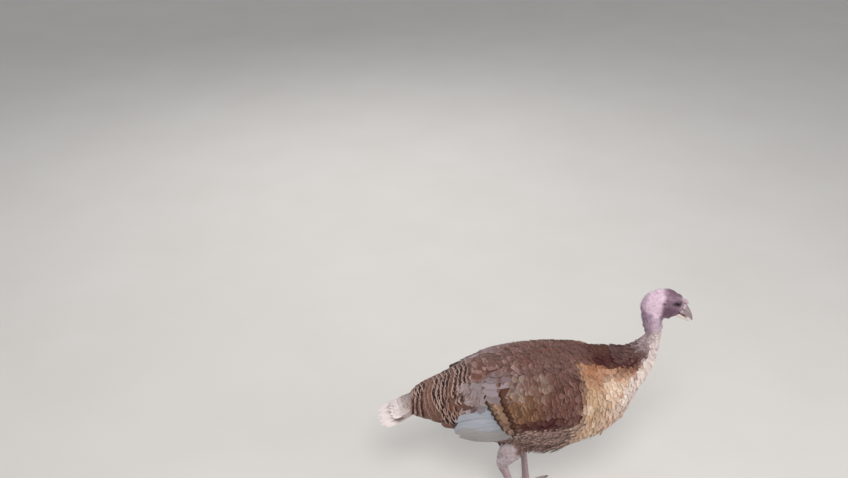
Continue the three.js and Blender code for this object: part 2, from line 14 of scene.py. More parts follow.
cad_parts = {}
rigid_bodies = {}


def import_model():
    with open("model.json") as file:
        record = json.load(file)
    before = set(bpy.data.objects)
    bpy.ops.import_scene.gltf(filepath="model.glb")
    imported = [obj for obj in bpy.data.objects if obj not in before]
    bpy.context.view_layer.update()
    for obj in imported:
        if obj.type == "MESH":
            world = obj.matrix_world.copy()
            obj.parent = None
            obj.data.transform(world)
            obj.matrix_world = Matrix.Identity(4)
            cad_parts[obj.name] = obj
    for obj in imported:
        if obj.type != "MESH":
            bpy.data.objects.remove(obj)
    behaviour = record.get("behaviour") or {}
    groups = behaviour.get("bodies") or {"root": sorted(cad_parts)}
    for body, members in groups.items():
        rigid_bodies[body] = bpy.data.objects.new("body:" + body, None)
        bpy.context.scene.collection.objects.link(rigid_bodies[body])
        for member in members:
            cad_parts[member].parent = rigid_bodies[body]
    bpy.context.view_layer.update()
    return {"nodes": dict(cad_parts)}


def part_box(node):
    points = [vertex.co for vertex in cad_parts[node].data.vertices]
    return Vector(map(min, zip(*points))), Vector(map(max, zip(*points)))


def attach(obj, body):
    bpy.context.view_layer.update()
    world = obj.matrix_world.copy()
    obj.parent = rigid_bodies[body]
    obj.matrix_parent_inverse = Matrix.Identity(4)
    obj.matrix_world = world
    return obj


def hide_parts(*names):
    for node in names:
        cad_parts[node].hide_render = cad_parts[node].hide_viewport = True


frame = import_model()
NODES = frame["nodes"]

MM = 0.001
SIDES = {"left": 1, "right": -1}

# -------- the bird's own frame

HEAD_PLACE = Vector((296, -11, 622))
HEAD_TURN = math.radians(-15)
HEAD_BOW = math.radians(24)
EYE_PLACE = Vector((-1.5, 12.6, 5.6))  # of the left eye, in the head's frame
HEAD_TILT = Matrix.Rotation(HEAD_TURN, 3, "Z") @ Matrix.Rotation(HEAD_BOW, 3, "Y")


def middle_of(node):
    low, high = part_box(node)
    return (low + high) / 2


between_eyes = (middle_of("eye_left") + middle_of("eye_right")) / 2
HEAD_ORIGIN = between_eyes - HEAD_TILT @ Vector((EYE_PLACE.x, 0, EYE_PLACE.z)) * MM
BIRD_ORIGIN = HEAD_ORIGIN - HEAD_PLACE * MM
HEAD_AXES = np.array(HEAD_TILT)


def in_bird(points):
    return (np.asarray(points) - np.array(BIRD_ORIGIN)) / MM


def from_bird(points):
    return np.asarray(points, float) * MM + np.array(BIRD_ORIGIN)


def in_head(points):
    return (np.asarray(points) - np.array(HEAD_ORIGIN)) @ HEAD_AXES / MM


def from_head(points):
    return np.asarray(points, float) @ HEAD_AXES.T * MM + np.array(HEAD_ORIGIN)


# Middle line of neck, trunk and rump, from the head back to the root of the tail.
BODY_LINE = np.array([
    [246, 0, 575],
    [253, 0, 530],
    [246, 0, 495],
    [222, 0, 455],
    [180, 0, 412],
    [120, 0, 376],
    [40, 0, 354],
    [-60, 0, 350],
    [-150, 0, 346],
    [-230, 0, 340],
    [-300, 0, 332],
    [-420, 0, 290],
], float)

LEGS = {
    "left": {"knee": (-22, 59, 226), "hock": (-33, 58, 187), "ankle": (-15, 58, 23)},
    "right": {"knee": (-75, -62, 226), "hock": (-95, -62, 188), "ankle": (-32, -62, 23)},
}
TOES = [("inner", 66, 34), ("middle", 86, 2), ("outer", 64, -31), ("hind", 31, 172)]  # name, length, turn
NECK, TRUNK, WING, FLIGHT, TAIL, THIGH = range(6)
PART_OF_NODE = {
    "neck_lower": NECK,
    "neck_upper": NECK,
    "trunk": TRUNK,
    "wing_left": WING,
    "wing_right": WING,
    "flight_left": FLIGHT,
    "flight_right": FLIGHT,
    "tail": TAIL,
    "thigh_left": THIGH,
    "thigh_right": THIGH,
    "shank_left": THIGH,
    "shank_right": THIGH,
}

# -------- small tools


def unit(vectors):
    return vectors / np.maximum(np.linalg.norm(vectors, axis=-1, keepdims=True), 1e-12)


def ease(value, low, high):
    """0 at low, 1 at high, smooth between them. low may be the larger one."""
    share = np.clip((np.asarray(value, float) - low) / (high - low), 0, 1)
    return share * share * (3 - 2 * share)


def ripple(points, size, seed):
    """Smooth noise from about -1 to 1 whose patches are about `size` across."""
    rng = np.random.default_rng(seed)
    waves = unit(rng.normal(size=(10, 3))) * rng.uniform(0.6, 1.5, (10, 1))
    phases = rng.uniform(0, 2 * math.pi, 10)
    return np.sin(points @ waves.T * (math.pi / size) + phases).mean(1) * 2.0


def paint(red, green, blue):
    """A colour given from 0 to 255, as the shaders want it."""
    share = np.array([red, green, blue], float) / 255
    return np.where(share <= 0.04045, share / 12.92, ((share + 0.055) / 1.055) ** 2.4)


def toward(colours, other, share):
    return colours + (other - colours) * np.asarray(share)[:, None]


def washed(colour, count, washes):
    """One colour for a number of points, with others laid over it in turn: pairs of colour and share."""
    colours = np.tile(colour, (count, 1))
    for other, share in washes:
        colours = toward(colours, other, share)
    return colours


def mound(across, up=0.0):
    """A smooth hump, 1 in the middle, for distances from it in half widths."""
    return np.exp(-(across**2 + up**2))


def square_to(vectors, axes):
    """The vectors made square to the axes and of length 1."""
    return unit(vectors - axes * (vectors * axes).sum(axis=1, keepdims=True))


def picked(chosen, *arrays):
    return [values[chosen] for values in arrays]


def points_of(mesh):
    flat = np.empty(len(mesh.vertices) * 3, np.float32)
    mesh.vertices.foreach_get("co", flat)
    return flat.reshape(-1, 3).astype(float)


def normals_of(mesh):
    flat = np.empty(len(mesh.vertices) * 3, np.float32)
    mesh.vertex_normals.foreach_get("vector", flat)
    return flat.reshape(-1, 3).astype(float)


def put_points(mesh, points):
    mesh.vertices.foreach_set("co", points.astype(np.float32).ravel())
    mesh.update()


def store(mesh, name, kind, values, domain="POINT"):
    """Keeps values on a mesh under a name. kind is FLOAT, INT, FLOAT_VECTOR, FLOAT2 or FLOAT_COLOR."""
    attribute = mesh.attributes.new(name, kind, domain)
    field = {"FLOAT": "value", "INT": "value", "FLOAT_COLOR": "color"}.get(kind, "vector")
    values = np.asarray(values)
    if kind == "FLOAT_COLOR":
        values = np.hstack([values, np.ones((len(values), 1))])
    attribute.data.foreach_set(field, values.astype(np.int32 if kind == "INT" else np.float32).ravel())


def new_object(name, mesh):
    piece = bpy.data.objects.new(name, mesh)
    bpy.context.scene.collection.objects.link(piece)
    return piece


def drop(piece):
    mesh = piece.data
    bpy.data.objects.remove(piece)
    bpy.data.meshes.remove(mesh)


def applied(piece):
    """Makes what the piece's modifiers show its own mesh."""
    graph = bpy.context.evaluated_depsgraph_get()
    mesh = bpy.data.meshes.new_from_object(piece.evaluated_get(graph))
    old = piece.data
    piece.modifiers.clear()
    piece.data = mesh
    bpy.data.meshes.remove(old)
    mesh.name = piece.name
    return piece


def smooth_faces(mesh):
    mesh.polygons.foreach_set("use_smooth", [True] * len(mesh.polygons))
    mesh.update()


def solids_copy(names, title):
    """One object with merged copies of the named solids."""
    work = bmesh.new()
    for name in names:
        work.from_mesh(NODES[name].data)
    bmesh.ops.remove_doubles(work, verts=work.verts, dist=2e-5)
    mesh = bpy.data.meshes.new(title)
    work.to_mesh(mesh)
    work.free()
    mesh.materials.clear()
    return new_object(title, mesh)


def remeshed(piece, voxel, rounds):
    """Even faces of one size over the piece, smoothed a number of rounds."""
    remesh = piece.modifiers.new("even", "REMESH")
    remesh.mode = "VOXEL"
    remesh.voxel_size = voxel * MM
    remesh.use_smooth_shade = True
    relax(piece, rounds)
    return applied(piece)


def relax(piece, rounds):
    smooth = piece.modifiers.new("relax", "SMOOTH")
    smooth.factor = 0.5
    smooth.iterations = rounds


@contextmanager
def editing(mesh):
    """Opens a mesh for edits and writes them back to it."""
    work = bmesh.new()
    work.from_mesh(mesh)
    yield work
    work.to_mesh(mesh)
    work.free()


def keep_side(piece, point, normal):
    """Cuts the piece by a plane and keeps what lies on the side that the normal points to."""
    with editing(piece.data) as work:
        everything = work.verts[:] + work.edges[:] + work.faces[:]
        bmesh.ops.bisect_plane(work, geom=everything, plane_co=point, plane_no=normal, clear_inner=True)


def ride_root(piece):
    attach(piece, "root")


# -------- markings

DUSTY_BROWN = paint(104, 74, 66)
DARK_MANTLE = paint(88, 52, 46)
RUST = paint(158, 98, 64)
ORANGE_BUFF = paint(176, 130, 100)
WARM_TAN = paint(198, 158, 124)
CREAM = paint(234, 208, 182)
OLIVE_TAN = paint(168, 142, 102)
PINK_BUFF = paint(114, 87, 80)
WING_BROWN = paint(94, 60, 51)
OCHRE_BROWN = paint(106, 72, 48)
MAROON = paint(68, 26, 29)
TAN = paint(164, 130, 106)
SOFT_PINK = paint(152, 118, 108)
FLIGHT_WHITE = paint(170, 175, 184)
BEIGE_GREY = paint(166, 150, 148)
DOWN_LILAC = paint(168, 160, 172)
STREAK_PINK = paint(188, 158, 148)
RUMP_BROWN = paint(110, 79, 69)
BAR_BLACK = paint(34, 20, 20)
EDGE_PINK = paint(194, 164, 152)
# Saddle umber is painted shade for the gaps between feathers; saddle pink is partly pale feather edges,
# partly painted highlight.
SADDLE_GAP_SHADE = paint(76, 44, 40)
SADDLE_PINK_AND_HIGHLIGHT = paint(154, 120, 114)
TAIL_GREY = paint(196, 180, 176)
TAIL_CREAM = paint(238, 226, 223)
NECK_WHITE = paint(222, 204, 201)
HIND_NECK = paint(158, 134, 142)
THIGH_PALE = paint(184, 168, 172)
RED_BROWN = paint(116, 64, 50)
RUSSET = paint(176, 130, 96)
BLUSH = paint(214, 180, 156)
RUDDY = paint(190, 148, 118)
KEEL_WHITE = paint(236, 220, 212)
# A tip colour that is partly pale feather tip, partly painted highlight.
KEEL_HIGHLIGHT_TIP = paint(250, 243, 240)
# The next two colours are painted shade in the crease before the wing.
CREASE_SHADE_BROWN = paint(124, 84, 60)
CREASE_SHADE_TIP = paint(150, 110, 84)
UMBER = paint(92, 60, 48)
UMBER_TIP = paint(112, 78, 66)
RUMP_RED = paint(124, 82, 66)
NECK_TIP = paint(240, 232, 228)
NAPE_BROWN = paint(96, 64, 58)
NAPE_TIP = paint(112, 80, 74)
COLLAR_TIP = paint(96, 60, 56)
WING_MAUVE = paint(134, 98, 94)
WING_DARK = paint(62, 32, 29)
SPECKLE = paint(156, 138, 126)
THIGH_TIP = paint(198, 184, 188)
FLIGHT_GREY = paint(176, 168, 164)

WIDEST_AT = [-316, -250, -180, -95, 0, 100, 145, 198, 236]  # x, and the height of the widest level there
WIDEST_LEVEL = [332, 339, 347, 355, 356, 369, 378, 404, 436]
MANTLE_EDGE = ([80, 95, 115, 149, 184, 205], [60, 61, 60, 55, 47, 42])  # x, and degrees round the trunk
MANTLE_SHIFT = (16, -4)  # degrees by which its left and its right edge differ from that
MANTLE_FRONT = ([412, 455, 495], [192, 228, 250])  # height, and x where it ends
KEEL_EDGE = ([350, 394, 426, 460], [158, 182, 198, 220])  # height, and x where the pale keel begins, partly the breast's own cream, partly painted highlight
CREASE_LINE = ([394, 416, 434], [147, 138, 133])  # height, and x of the crease before the wing, where painted shade lies
NECK_MIDDLE = ([430, 455, 495, 530, 575], [200, 222, 246, 253, 246])  # height, and x
NECK_HALF = ([430, 455, 495, 530, 575], [56, 44, 26, 17, 19])  # height, and half the depth


def round_angle(p):
    """Degrees round the trunk: 90 at the top, 0 at the side and -90 below."""
    level = np.interp(p[:, 0], WIDEST_AT, WIDEST_LEVEL)
    return np.degrees(np.arctan2(p[:, 2] - level, np.abs(p[:, 1])))


class Tones:
    """The base and tip colours of the feathers at bird points, while others are washed over them."""

    def __init__(self, p, hue, tip):
        self.hue = np.tile(hue, (len(p), 1))
        self.tip = np.tile(tip, (len(p), 1))

    def wash(self, share, hue, strength=1.0, tip=None, tip_strength=1.0):
        self.hue = toward(self.hue, hue, strength * share)
        if tip is not None:
            self.tips(share, tip, tip_strength)

    def tips(self, share, tip, strength=1.0):
        self.tip = toward(self.tip, tip, strength * share)


def shade_and_highlight_mottle(tones, p, amount):
    """Adds umber and pink patches about a feather wide, as strongly as amount says: the umber is painted
    shade for the dark gaps between feathers, the pink partly pale feather edges and partly painted highlight.
    """
    tones.wash(amount * ease(ripple(p, 10, 37), 0.0, 0.6), SADDLE_GAP_SHADE, 0.8)
    tones.wash(amount * ease(ripple(p, 9, 38), 0.0, 0.6), SADDLE_PINK_AND_HIGHLIGHT, 0.8, EDGE_PINK, 0.8)


def breast_markings(tones, p, x, angle, over, blur):
    """Orange-buff and olive by the mantle, cream in patches in front, the pale keel's edge, partly painted
    highlight, and painted shade in the crease before the wing.
    """
    front = ease(x, 64, 100)
    breast = front * ease(over, 10, -4)
    tones.wash(breast, WARM_TAN, 1, CREAM, 0.8)
    orange = front * ease(over, -36, -18) * ease(over, 12, 2) * ease(x, 168, 130)
    tones.wash(orange, ORANGE_BUFF, 0.9, WARM_TAN, 0.7)
    olive = breast * ease(angle, 34, 12) * ease(ripple(p, 15, 24), -0.3, 0.6) * ease(x, 172, 140)
    tones.wash(olive, OLIVE_TAN, 0.8)
    patches = breast * ease(angle, 30, 4) * ease(ripple(p, 19, 8), -0.1, 0.6)
    pale = np.maximum(breast * ease(x, 112, 152), 0.85 * patches)
    tones.wash(pale, CREAM, 0.9, NECK_WHITE)
    russet = breast * ease(x, 128, 146) * ease(angle, 22, 8) * ease(ripple(p, 13, 34), -0.4, 0.5)
    tones.wash(russet, RUSSET, 0.7)
    tones.wash(breast * ease(angle, 6, -24), BLUSH, 0.6)
    tones.wash(breast * ease(x, 100, 130) * ease(ripple(p, 26, 35), 0.1, 0.9), RUDDY, 0.5)
    # The pale keel strip is partly the breast's own cream, partly painted highlight along its lit front edge.
    forward = p[:, 0] - np.interp(p[:, 2], *KEEL_EDGE) + 3 * blur
    keel = breast * ease(forward, -12, 5) * ease(p[:, 2] + 9 * ripple(p, 14, 36), 326, 404)
    tones.wash(keel, KEEL_WHITE, 0.85, KEEL_HIGHLIGHT_TIP, 0.9)
    # Painted shade: a brown line in the crease before the wing.
    crease = mound((p[:, 0] - np.interp(p[:, 2], *CREASE_LINE)) / 3.5)
    crease = crease * ease(p[:, 2], 386, 394) * ease(p[:, 2], 444, 436)
    tones.wash(crease, CREASE_SHADE_BROWN, 0.7, CREASE_SHADE_TIP, 0.7)


def mantle_markings(tones, x, over):
    """The dark mantle, deepest along its edge, and the rust below it. Gives back where it lies."""
    mantle = ease(x, 84, 126) * ease(over, -6, 6)
    tones.wash(mantle, DARK_MANTLE, 0.85, MAROON, 0.8)
    tones.wash(ease(x, 100, 132) * ease(over, -5, 4) * ease(over, 28, 14), MAROON, 0.85)
    tones.wash(ease(x, 84, 120) * ease(over, 16, 30), UMBER, 0.7, UMBER_TIP, 0.7)
    rust = ease(x, 82, 118) * ease(over, -24, -7) * ease(over, 6, -3)
    tones.wash(rust, RUST, 0.7, ORANGE_BUFF, 0.6)
    return mantle


def rump_markings(tones, p, x, angle, rump):
    """The rump, the saddle mottled with painted shade and highlight, and the pale down at its side and vent.
    Gives back where the down is.
    """
    tones.wash(rump, RUMP_BROWN, 1, EDGE_PINK)
    tones.wash(rump * ease(ripple(p, 22, 33), 0, 0.8), RUMP_RED, 0.6)
    shade_and_highlight_mottle(tones, p, ease(x, -70, -112) * ease(x, -212, -196) * ease(angle, 42, 52))
    rear = x - 13 * ease(angle, 34, 16)
    downy = ease(x, -118, -150) * ease(rear, -214, -192) * ease(angle, 62, 46)
    downy *= 0.45 + 0.55 * ease(ripple(p, 20, 25), -0.6, 0.4)
    tones.wash(downy, BEIGE_GREY, 0.9, DOWN_LILAC, 0.9)
    tones.wash(downy * ease(ripple(p, 14, 26), 0, 0.8), DOWN_LILAC, 0.7)
    tones.wash(ease(x, -120, -170) * ease(angle, -28, -48), BEIGE_GREY, 0.7)
    return downy


def trunk_markings(p):
    """Dusky back, dark mantle, buff and cream breast, and barred rump with pale down at its side."""
    blur = ripple(p, 16, 4)
    x = p[:, 0] + 7 * ripple(p, 24, 3) + 5 * ripple(p, 9, 6)
    angle = round_angle(p) + 5 * blur + 4 * ripple(p, 8, 7)
    over = angle - np.interp(x, *MANTLE_EDGE) + np.where(p[:, 1] > 0, *MANTLE_SHIFT)
    over = over - 80 * ease(p[:, 0] - np.interp(p[:, 2], *MANTLE_FRONT), -4, 10)
    frosted = ease(x, -20, -70) * ease(ripple(p, 11, 10), -0.1, 0.7)
    rump = ease(p[:, 0] + 6 * blur, -146, -190)
    tones = Tones(p, DUSTY_BROWN, SOFT_PINK)
    tones.wash(ease(ripple(p, 30, 9), -0.2, 0.8) * ease(angle, 20, 45), RED_BROWN, 0.55)
    tones.tips(frosted, EDGE_PINK, 0.5)
    tones.wash(ease(angle, 12, -22), PINK_BUFF, 1, STREAK_PINK)
    breast_markings(tones, p, x, angle, over, blur)
    mantle = mantle_markings(tones, x, over)
    downy = rump_markings(tones, p, x, angle, rump)
    bar = rump * ease(angle, -60, -40) * (1 - downy)
    return tones.hue, tones.tip, bar, 0.3 + 0.7 * rump - 0.2 * mantle + 0.2 * frosted


def neck_markings(p):
    """A whitish neck, darker behind and below, that runs into the trunk's markings."""
    middle, half = np.interp(p[:, 2], *NECK_MIDDLE), np.interp(p[:, 2], *NECK_HALF)
    forward = (p[:, 0] - middle) / half + 0.3 * ripple(p, 12, 5)
    height = p[:, 2] + 8 * ripple(p, 12, 15)
    tones = Tones(p, NECK_WHITE, NECK_TIP)
    tones.wash(ease(forward, 0.1, -0.6), HIND_NECK, 0.7, HIND_NECK, 0.4)
    tones.wash(ease(forward, 0.05, -0.45) * ease(height, 514, 488), NAPE_BROWN, 0.92, NAPE_TIP, 0.9)
    tones.wash(ease(forward, 0.0, -0.35) * ease(height, 484, 466), MAROON, 0.75, COLLAR_TIP, 0.8)
    tones.wash(ease(forward, -0.6, -0.2) * ease(forward, 0.2, -0.1) * ease(height, 486, 455), RUST, 0.5)
    tones.wash(ease(forward, -0.1, 0.3) * ease(height, 476, 430), CREAM)
    below_hue, below_tip, _, _ = trunk_markings(p)
    tones.wash(ease(height, 478, 446), below_hue, 1, below_tip)
    return tones.hue, tones.tip, 0.0, 0.3


def wing_markings(p):
    """A brown wing with ochre and mauve patches, a maroon shadow by the breast and a pale lower edge."""
    x = p[:, 0] + 7 * ripple(p, 18, 11) + 5 * ripple(p, 8, 16)
    angle = round_angle(p) + 4 * ripple(p, 17, 12) + 3 * ripple(p, 7, 17)
    tones = Tones(p, WING_BROWN, SOFT_PINK)
    tones.wash(ease(angle, 36, 60), DUSTY_BROWN)
    tones.wash(ease(ripple(p, 12, 18), 0.1, 0.8), WING_MAUVE, 0.7)
    tones.wash(ease(ripple(p, 10, 19), 0.1, 0.9), WING_DARK, 0.7)
    tones.wash(ease(x, 10, -40) * ease(angle, 40, 26), OCHRE_BROWN, 0.85, TAN, 0.8)
    spots = ease(x, 20, -16) * ease(x, -118, -90) * ease(angle, 22, 34) * ease(angle, 60, 50)
    tones.wash(spots * ease(ripple(p, 10, 20), -0.3, 0.5), SPECKLE, 0.55, CREAM, 0.35)
    frosted = ease(x, 0, -70) * ease(angle, 52, 62) * ease(ripple(p, 11, 10), -0.1, 0.7)
    tones.tips(frosted, EDGE_PINK, 0.5)
    # Painted shade and highlight mottling over the rear top of the wing.
    shade_and_highlight_mottle(tones, p, 0.8 * ease(x, -20, -58) * ease(angle, 50, 60))
    shadow = ease(x, -90, -50) * ease(x, 66, 24) * ease(angle, 7, 0) * ease(angle, -13, -8)
    tones.wash(shadow, MAROON, 0.9, MAROON, 0.9)
    tones.wash(ease(angle, -7, -12), PINK_BUFF, 0.9, STREAK_PINK)
    front_hue, front_tip, _, _ = trunk_markings(p)
    tones.wash(ease(x, 66, 98), front_hue, 1, front_tip)
    edging = 0.25 + 0.45 * ease(ripple(p, 14, 21), -0.6, 0.5) + 0.2 * frosted
    return tones.hue, tones.tip, 0.0, edging


def thigh_markings(p):
    tones = Tones(p, THIGH_PALE, THIGH_TIP)
    tones.wash(ease(p[:, 2], 255, 290), PINK_BUFF, 0.5)
    return tones.hue, tones.tip, 0.0, 0.3


def flight_markings(p):
    angle = round_angle(p) + 4 * ripple(p, 26, 14)
    tones = Tones(p, FLIGHT_WHITE, FLIGHT_WHITE)
    tones.wash(ease(angle, 20, 42), BEIGE_GREY, 0.7)
    tones.wash(ease(angle, -14, -36), FLIGHT_GREY, 0.7)
    return tones.hue, tones.hue, 0.0, 0.2


def tail_markings(p):
    tones = Tones(p, TAIL_GREY, TAIL_CREAM)
    return tones.hue, tones.tip, 0.2 + 0.7 * ease(np.abs(p[:, 1]), 12, 36), 1.0


MARKINGS = {
    NECK: neck_markings,
    TRUNK: trunk_markings,
    WING: wing_markings,
    THIGH: thigh_markings,
    FLIGHT: flight_markings,
    TAIL: tail_markings,
}


def markings(p, parts):
    """Base colour, tip colour, strength of the dark bar and of the pale edge, for each bird point."""
    hue = np.zeros((len(p), 3))
    tip = np.zeros((len(p), 3))
    bar = np.zeros(len(p))
    edging = np.zeros(len(p))
    for part, rule in MARKINGS.items():
        chosen = parts == part
        if chosen.any():
            hue[chosen], tip[chosen], bar[chosen], edging[chosen] = rule(p[chosen])
    return hue, tip, bar, edging


# -------- forms that the coat lies on


def tree_over(meshes):
    """A search tree over meshes, and for each of its faces the number of the mesh it comes from."""
    vertices, faces, owners = [], [], []
    for number, mesh in enumerate(meshes):
        start = len(vertices)
        vertices += [v.co.copy() for v in mesh.vertices]
        faces += [[start + i for i in polygon.vertices] for polygon in mesh.polygons]
        owners += [number] * len(mesh.polygons)
    return BVHTree.FromPolygons(vertices, faces), owners


def nearest_parts(points):
    """The part of the body whose solid lies nearest to each point."""
    tree, owners = tree_over([NODES[name].data for name in PART_OF_NODE])
    parts = list(PART_OF_NODE.values())
    return np.array([parts[owners[tree.find_nearest(Vector(p))[2]]] for p in points])


def distance_to(names, points):
    """Distance in millimetres from each point to the nearest of the named solids."""
    tree, _ = tree_over([NODES[name].data for name in names])
    return np.array([tree.find_nearest(Vector(p))[3] for p in points]) / MM


# Place, half sizes and slope in degrees of the soft mass above and below the root of the tail.
TAIL_MOUNDS = [
    ((-317, 0, 329), (62, 30, 13.5), 23),
    ((-304, 0, 319), (52, 28, 14), 14),
]
SKIN_UNDER_MOUNDS = 6


def add_mounds(piece, mounds):
    with editing(piece.data) as work:
        for place, half_sizes, slope in mounds:
            turn = Matrix.Rotation(math.radians(-slope), 4, "Y")
            scale = Matrix.Diagonal((*(half * MM for half in half_sizes), 1))
            matrix = Matrix.Translation(Vector(from_bird(place))) @ turn @ scale
            bmesh.ops.create_icosphere(work, subdivisions=4, radius=1, matrix=matrix)
    return piece


def coat_form(title, names, voxel, rounds, mounds=()):
    """A smooth outer form with its own outward direction kept at each point."""
    form = remeshed(add_mounds(solids_copy(names, title), mounds), voxel, rounds)
    store(form.data, "outward", "FLOAT_VECTOR", normals_of(form.data))
    form.hide_render = True
    return form


BODY_NODES = ["trunk", "neck_lower", "neck_upper", "thigh_left", "thigh_right"]
WING_NODES = ["wing_left", "wing_right"]
FLIGHT_NODES = ["flight_left", "flight_right"]
SHANK_NODES = ["shank_left", "shank_right"]

ALL_NODES = BODY_NODES + WING_NODES + FLIGHT_NODES + SHANK_NODES + ["tail"]
outer_form = coat_form("outer_form", ALL_NODES, 3.2, 7)
trunk_form = coat_form("trunk_form", ["trunk", "neck_lower", "tail"], 4, 10, TAIL_MOUNDS)

# -------- skin

COAT_DEPTH = {NECK: 4.5, TRUNK: 6.0, WING: 5.5, THIGH: 5.0}
NECK_SEAM = (Vector(from_bird([238, 0, 480])), Vector((0.5, 0, 0.87)))
LEG_SEAM_SHARE = 0.45  # of the way from knee to hock
HEAD_VOXEL = 0.85
BODY_VOXEL = 4.0
LEG_VOXEL = 0.95


def coat_depth(p, parts):
    """How deep the skin lies under the coat, in millimetres, at bird points on the outer form."""
    depth = np.zeros(len(p))
    for part, deep in COAT_DEPTH.items():
        depth[parts == part] = deep
    depth *= ease(p[:, 2], 532, 500)
    depth *= ease(p[:, 2], 186, 214)
    return depth


def sink(piece):
    """Draws the skin in from the outer form by the depth of the coat."""
    mesh = piece.data
    points = points_of(mesh)
    depth = coat_depth(in_bird(points), nearest_parts(points))
    put_points(mesh, points - normals_of(mesh) * depth[:, None] * MM)


LID_GAZE = (0.2, 1.0, 0.08)  # of the left eye, in the head's frame
LID_SLANT = (1.0, 0.0, 0.1)
LID_OPENING = {"wide": 0.72, "above": 0.36, "below": 0.42}  # radians from the gaze
LID_STEPS = 48
LID_SHELL = [(0.04, 7.2), (-0.03, 7.7), (0.03, 8.3), (0.2, 8.75)]  # radians past the opening, and radius
LID_REAR = [(8.2, 3.0), (10.6, 0.0), (12.6, -4.4), (13.0, -8.5), (6.0, -9.5)]  # out from the gaze, along it
LID_INSIDE = (1.5, 7.1)  # radians from the gaze, and radius
LID_ZONE = (9.3, 17.5)  # how far from the eye's middle the mound is smoothed into the face
EAR_PLACE = (-27, -9)  # x and z in the head's frame
EAR_SIZE = (3.4, 2.8)


def eye_axes(side):
    """The eye's place, where it looks, and the directions toward the bill and the crown."""
    mirror = np.array([1, side, 1])
    gaze = unit(np.array(LID_GAZE) * mirror)
    front = np.array(LID_SLANT)
    front = unit(front - gaze * (front @ gaze))
    above = np.cross(gaze, front) * -side
    return np.array(EYE_PLACE) * mirror, gaze, front, above


def lid_mesh(side):
    """The lids round the eyeball, open in an almond shape, on a mound that fairs into the face."""
    centre, gaze, front, above = eye_axes(side)
    rings = []
    for turn in np.linspace(0, 2 * math.pi, LID_STEPS, endpoint=False):
        tall = LID_OPENING["above" if math.sin(turn) > 0 else "below"]
        opening = 1 / math.hypot(math.cos(turn) / LID_OPENING["wide"], math.sin(turn) / tall)
        across = front * math.cos(turn) + above * math.sin(turn)

        def on_ball(angle, radius):
            return centre + radius * (gaze * math.cos(angle) + across * math.sin(angle))

        ring = [on_ball(opening + past, radius) for past, radius in LID_SHELL]
        ring += [centre + across * out + gaze * along for out, along in LID_REAR]
        ring.append(on_ball(*LID_INSIDE))
        rings.append(ring)
    count = len(rings[0])
    points = np.array(rings).reshape(-1, 3)
    faces = []
    for i in range(LID_STEPS):
        here, along = i * count, ((i + 1) % LID_STEPS) * count
        for j in range(count):
            nxt = (j + 1) % count
            faces.append((here + j, here + nxt, along + nxt, along + j))
    mesh = bpy.data.meshes.new("lid")
    mesh.from_pydata([tuple(p) for p in from_head(points)], [], faces)
    return mesh


def soften(piece, places, zone, rounds):
    """Smooths the piece in a ring round each place, given in the head's frame."""
    axes = {"use_axis_x": True, "use_axis_y": True, "use_axis_z": True}
    inner, outer = zone
    with editing(piece.data) as work:
        local = in_head(np.array([tuple(v.co) for v in work.verts]))
        near = np.zeros(len(local), bool)
        for place in places:
            distance = np.linalg.norm(local - place, axis=1)
            near |= (distance > inner) & (distance < outer)
        chosen = [v for v, wanted in zip(work.verts, near) if wanted]
        for _ in range(rounds):
            bmesh.ops.smooth_vert(work, verts=chosen, factor=0.5, **axes)


def ear_distance(x, z):
    """Distance from the middle of the ear opening, 1 at its rim."""
    return np.sqrt(((x - EAR_PLACE[0]) / EAR_SIZE[0]) ** 2 + ((z - EAR_PLACE[1]) / EAR_SIZE[1]) ** 2)


def head_shape(p):
    """How far the head's skin stands out, in millimetres, at points in the head's frame."""
    x, y, z = p.T
    side = np.abs(y)
    eye = np.sqrt((x - EYE_PLACE.x) ** 2 + (z - EYE_PLACE.z) ** 2)
    out = 0.8 * mound((x + 4) / 9, (z - 16) / 3.5) * ease(side, 5, 12)  # brow
    out += 1.3 * mound((x + 14) / 11, (z + 14) / 9) * ease(side, 8, 14)  # cheek
    out += 2.6 * mound((x + 52) / 16, (z + 38) / 20) * ease(x, -36, -50)  # nape
    ear = ear_distance(x, z)
    out += (0.9 * np.exp(-((ear - 1.5) ** 2) * 4) - 3.2 * np.exp(-(ear**2) * 1.2)) * ease(side, 10, 15)
    jaw = z + 25 + 0.42 * (14 - x)
    out -= 1.1 * mound(jaw / 2.2) * ease(x, 18, 8) * ease(x, -34, -20) * ease(side, 4, 9)
    lore = mound((x - 7) / 4, (z + 1) / 5) * ease(side, 5, 9)
    out -= 0.8 * lore
    ruck = np.sin(eye * 2.6 + 0.9 * ripple(p, 9, 31))
    out += 0.24 * ruck * ease(eye, 10, 12) * ease(eye, 22, 14) * ease(side, 8, 13)
    cere = np.sin(z * 2.1 + 0.8 * x + 1.2 * ripple(p, 7, 32))
    out += 0.22 * cere * ease(x, 6, 10) * ease(side, 3, 6) * ease(z, 8, 4)
    return out


def throat_shape(p):
    """The soft fold under the bill and down the front of the neck, at points in the head's frame."""
    x, y, z = p.T
    fold = mound(y / 3.4) * ease(x, -46, -30) * ease(x, 14, 2) * ease(z, -30, -44)
    return 3.4 * fold * (1 + 0.3 * np.sin(x * 0.55))


def neck_folds(p):
    """Loose folds and small warts on the bare skin of head and neck, at bird points."""
    _, y, z = p.T
    low = ease(z, 500, 530) * ease(z, 612, 585)
    rings = np.sin(z * 0.74 + 0.12 * y + 2.2 * ripple(p, 13, 41))
    rings *= 0.5 + 0.5 * ripple(p, 15, 44)
    warts = np.maximum(ripple(p, 2.4, 42), 0.1) - 0.1
    everywhere = 0.12 * ripple(p, 3.2, 43) + 0.18 * ripple(p, 7, 45)
    pebbles = 0.42 * np.maximum(ripple(p, 2.7, 46) - 0.15, 0) * ease(ripple(p, 11, 47), -0.6, 0.4)
    return low * (0.6 * rings + 0.95 * warts) + everywhere + pebbles


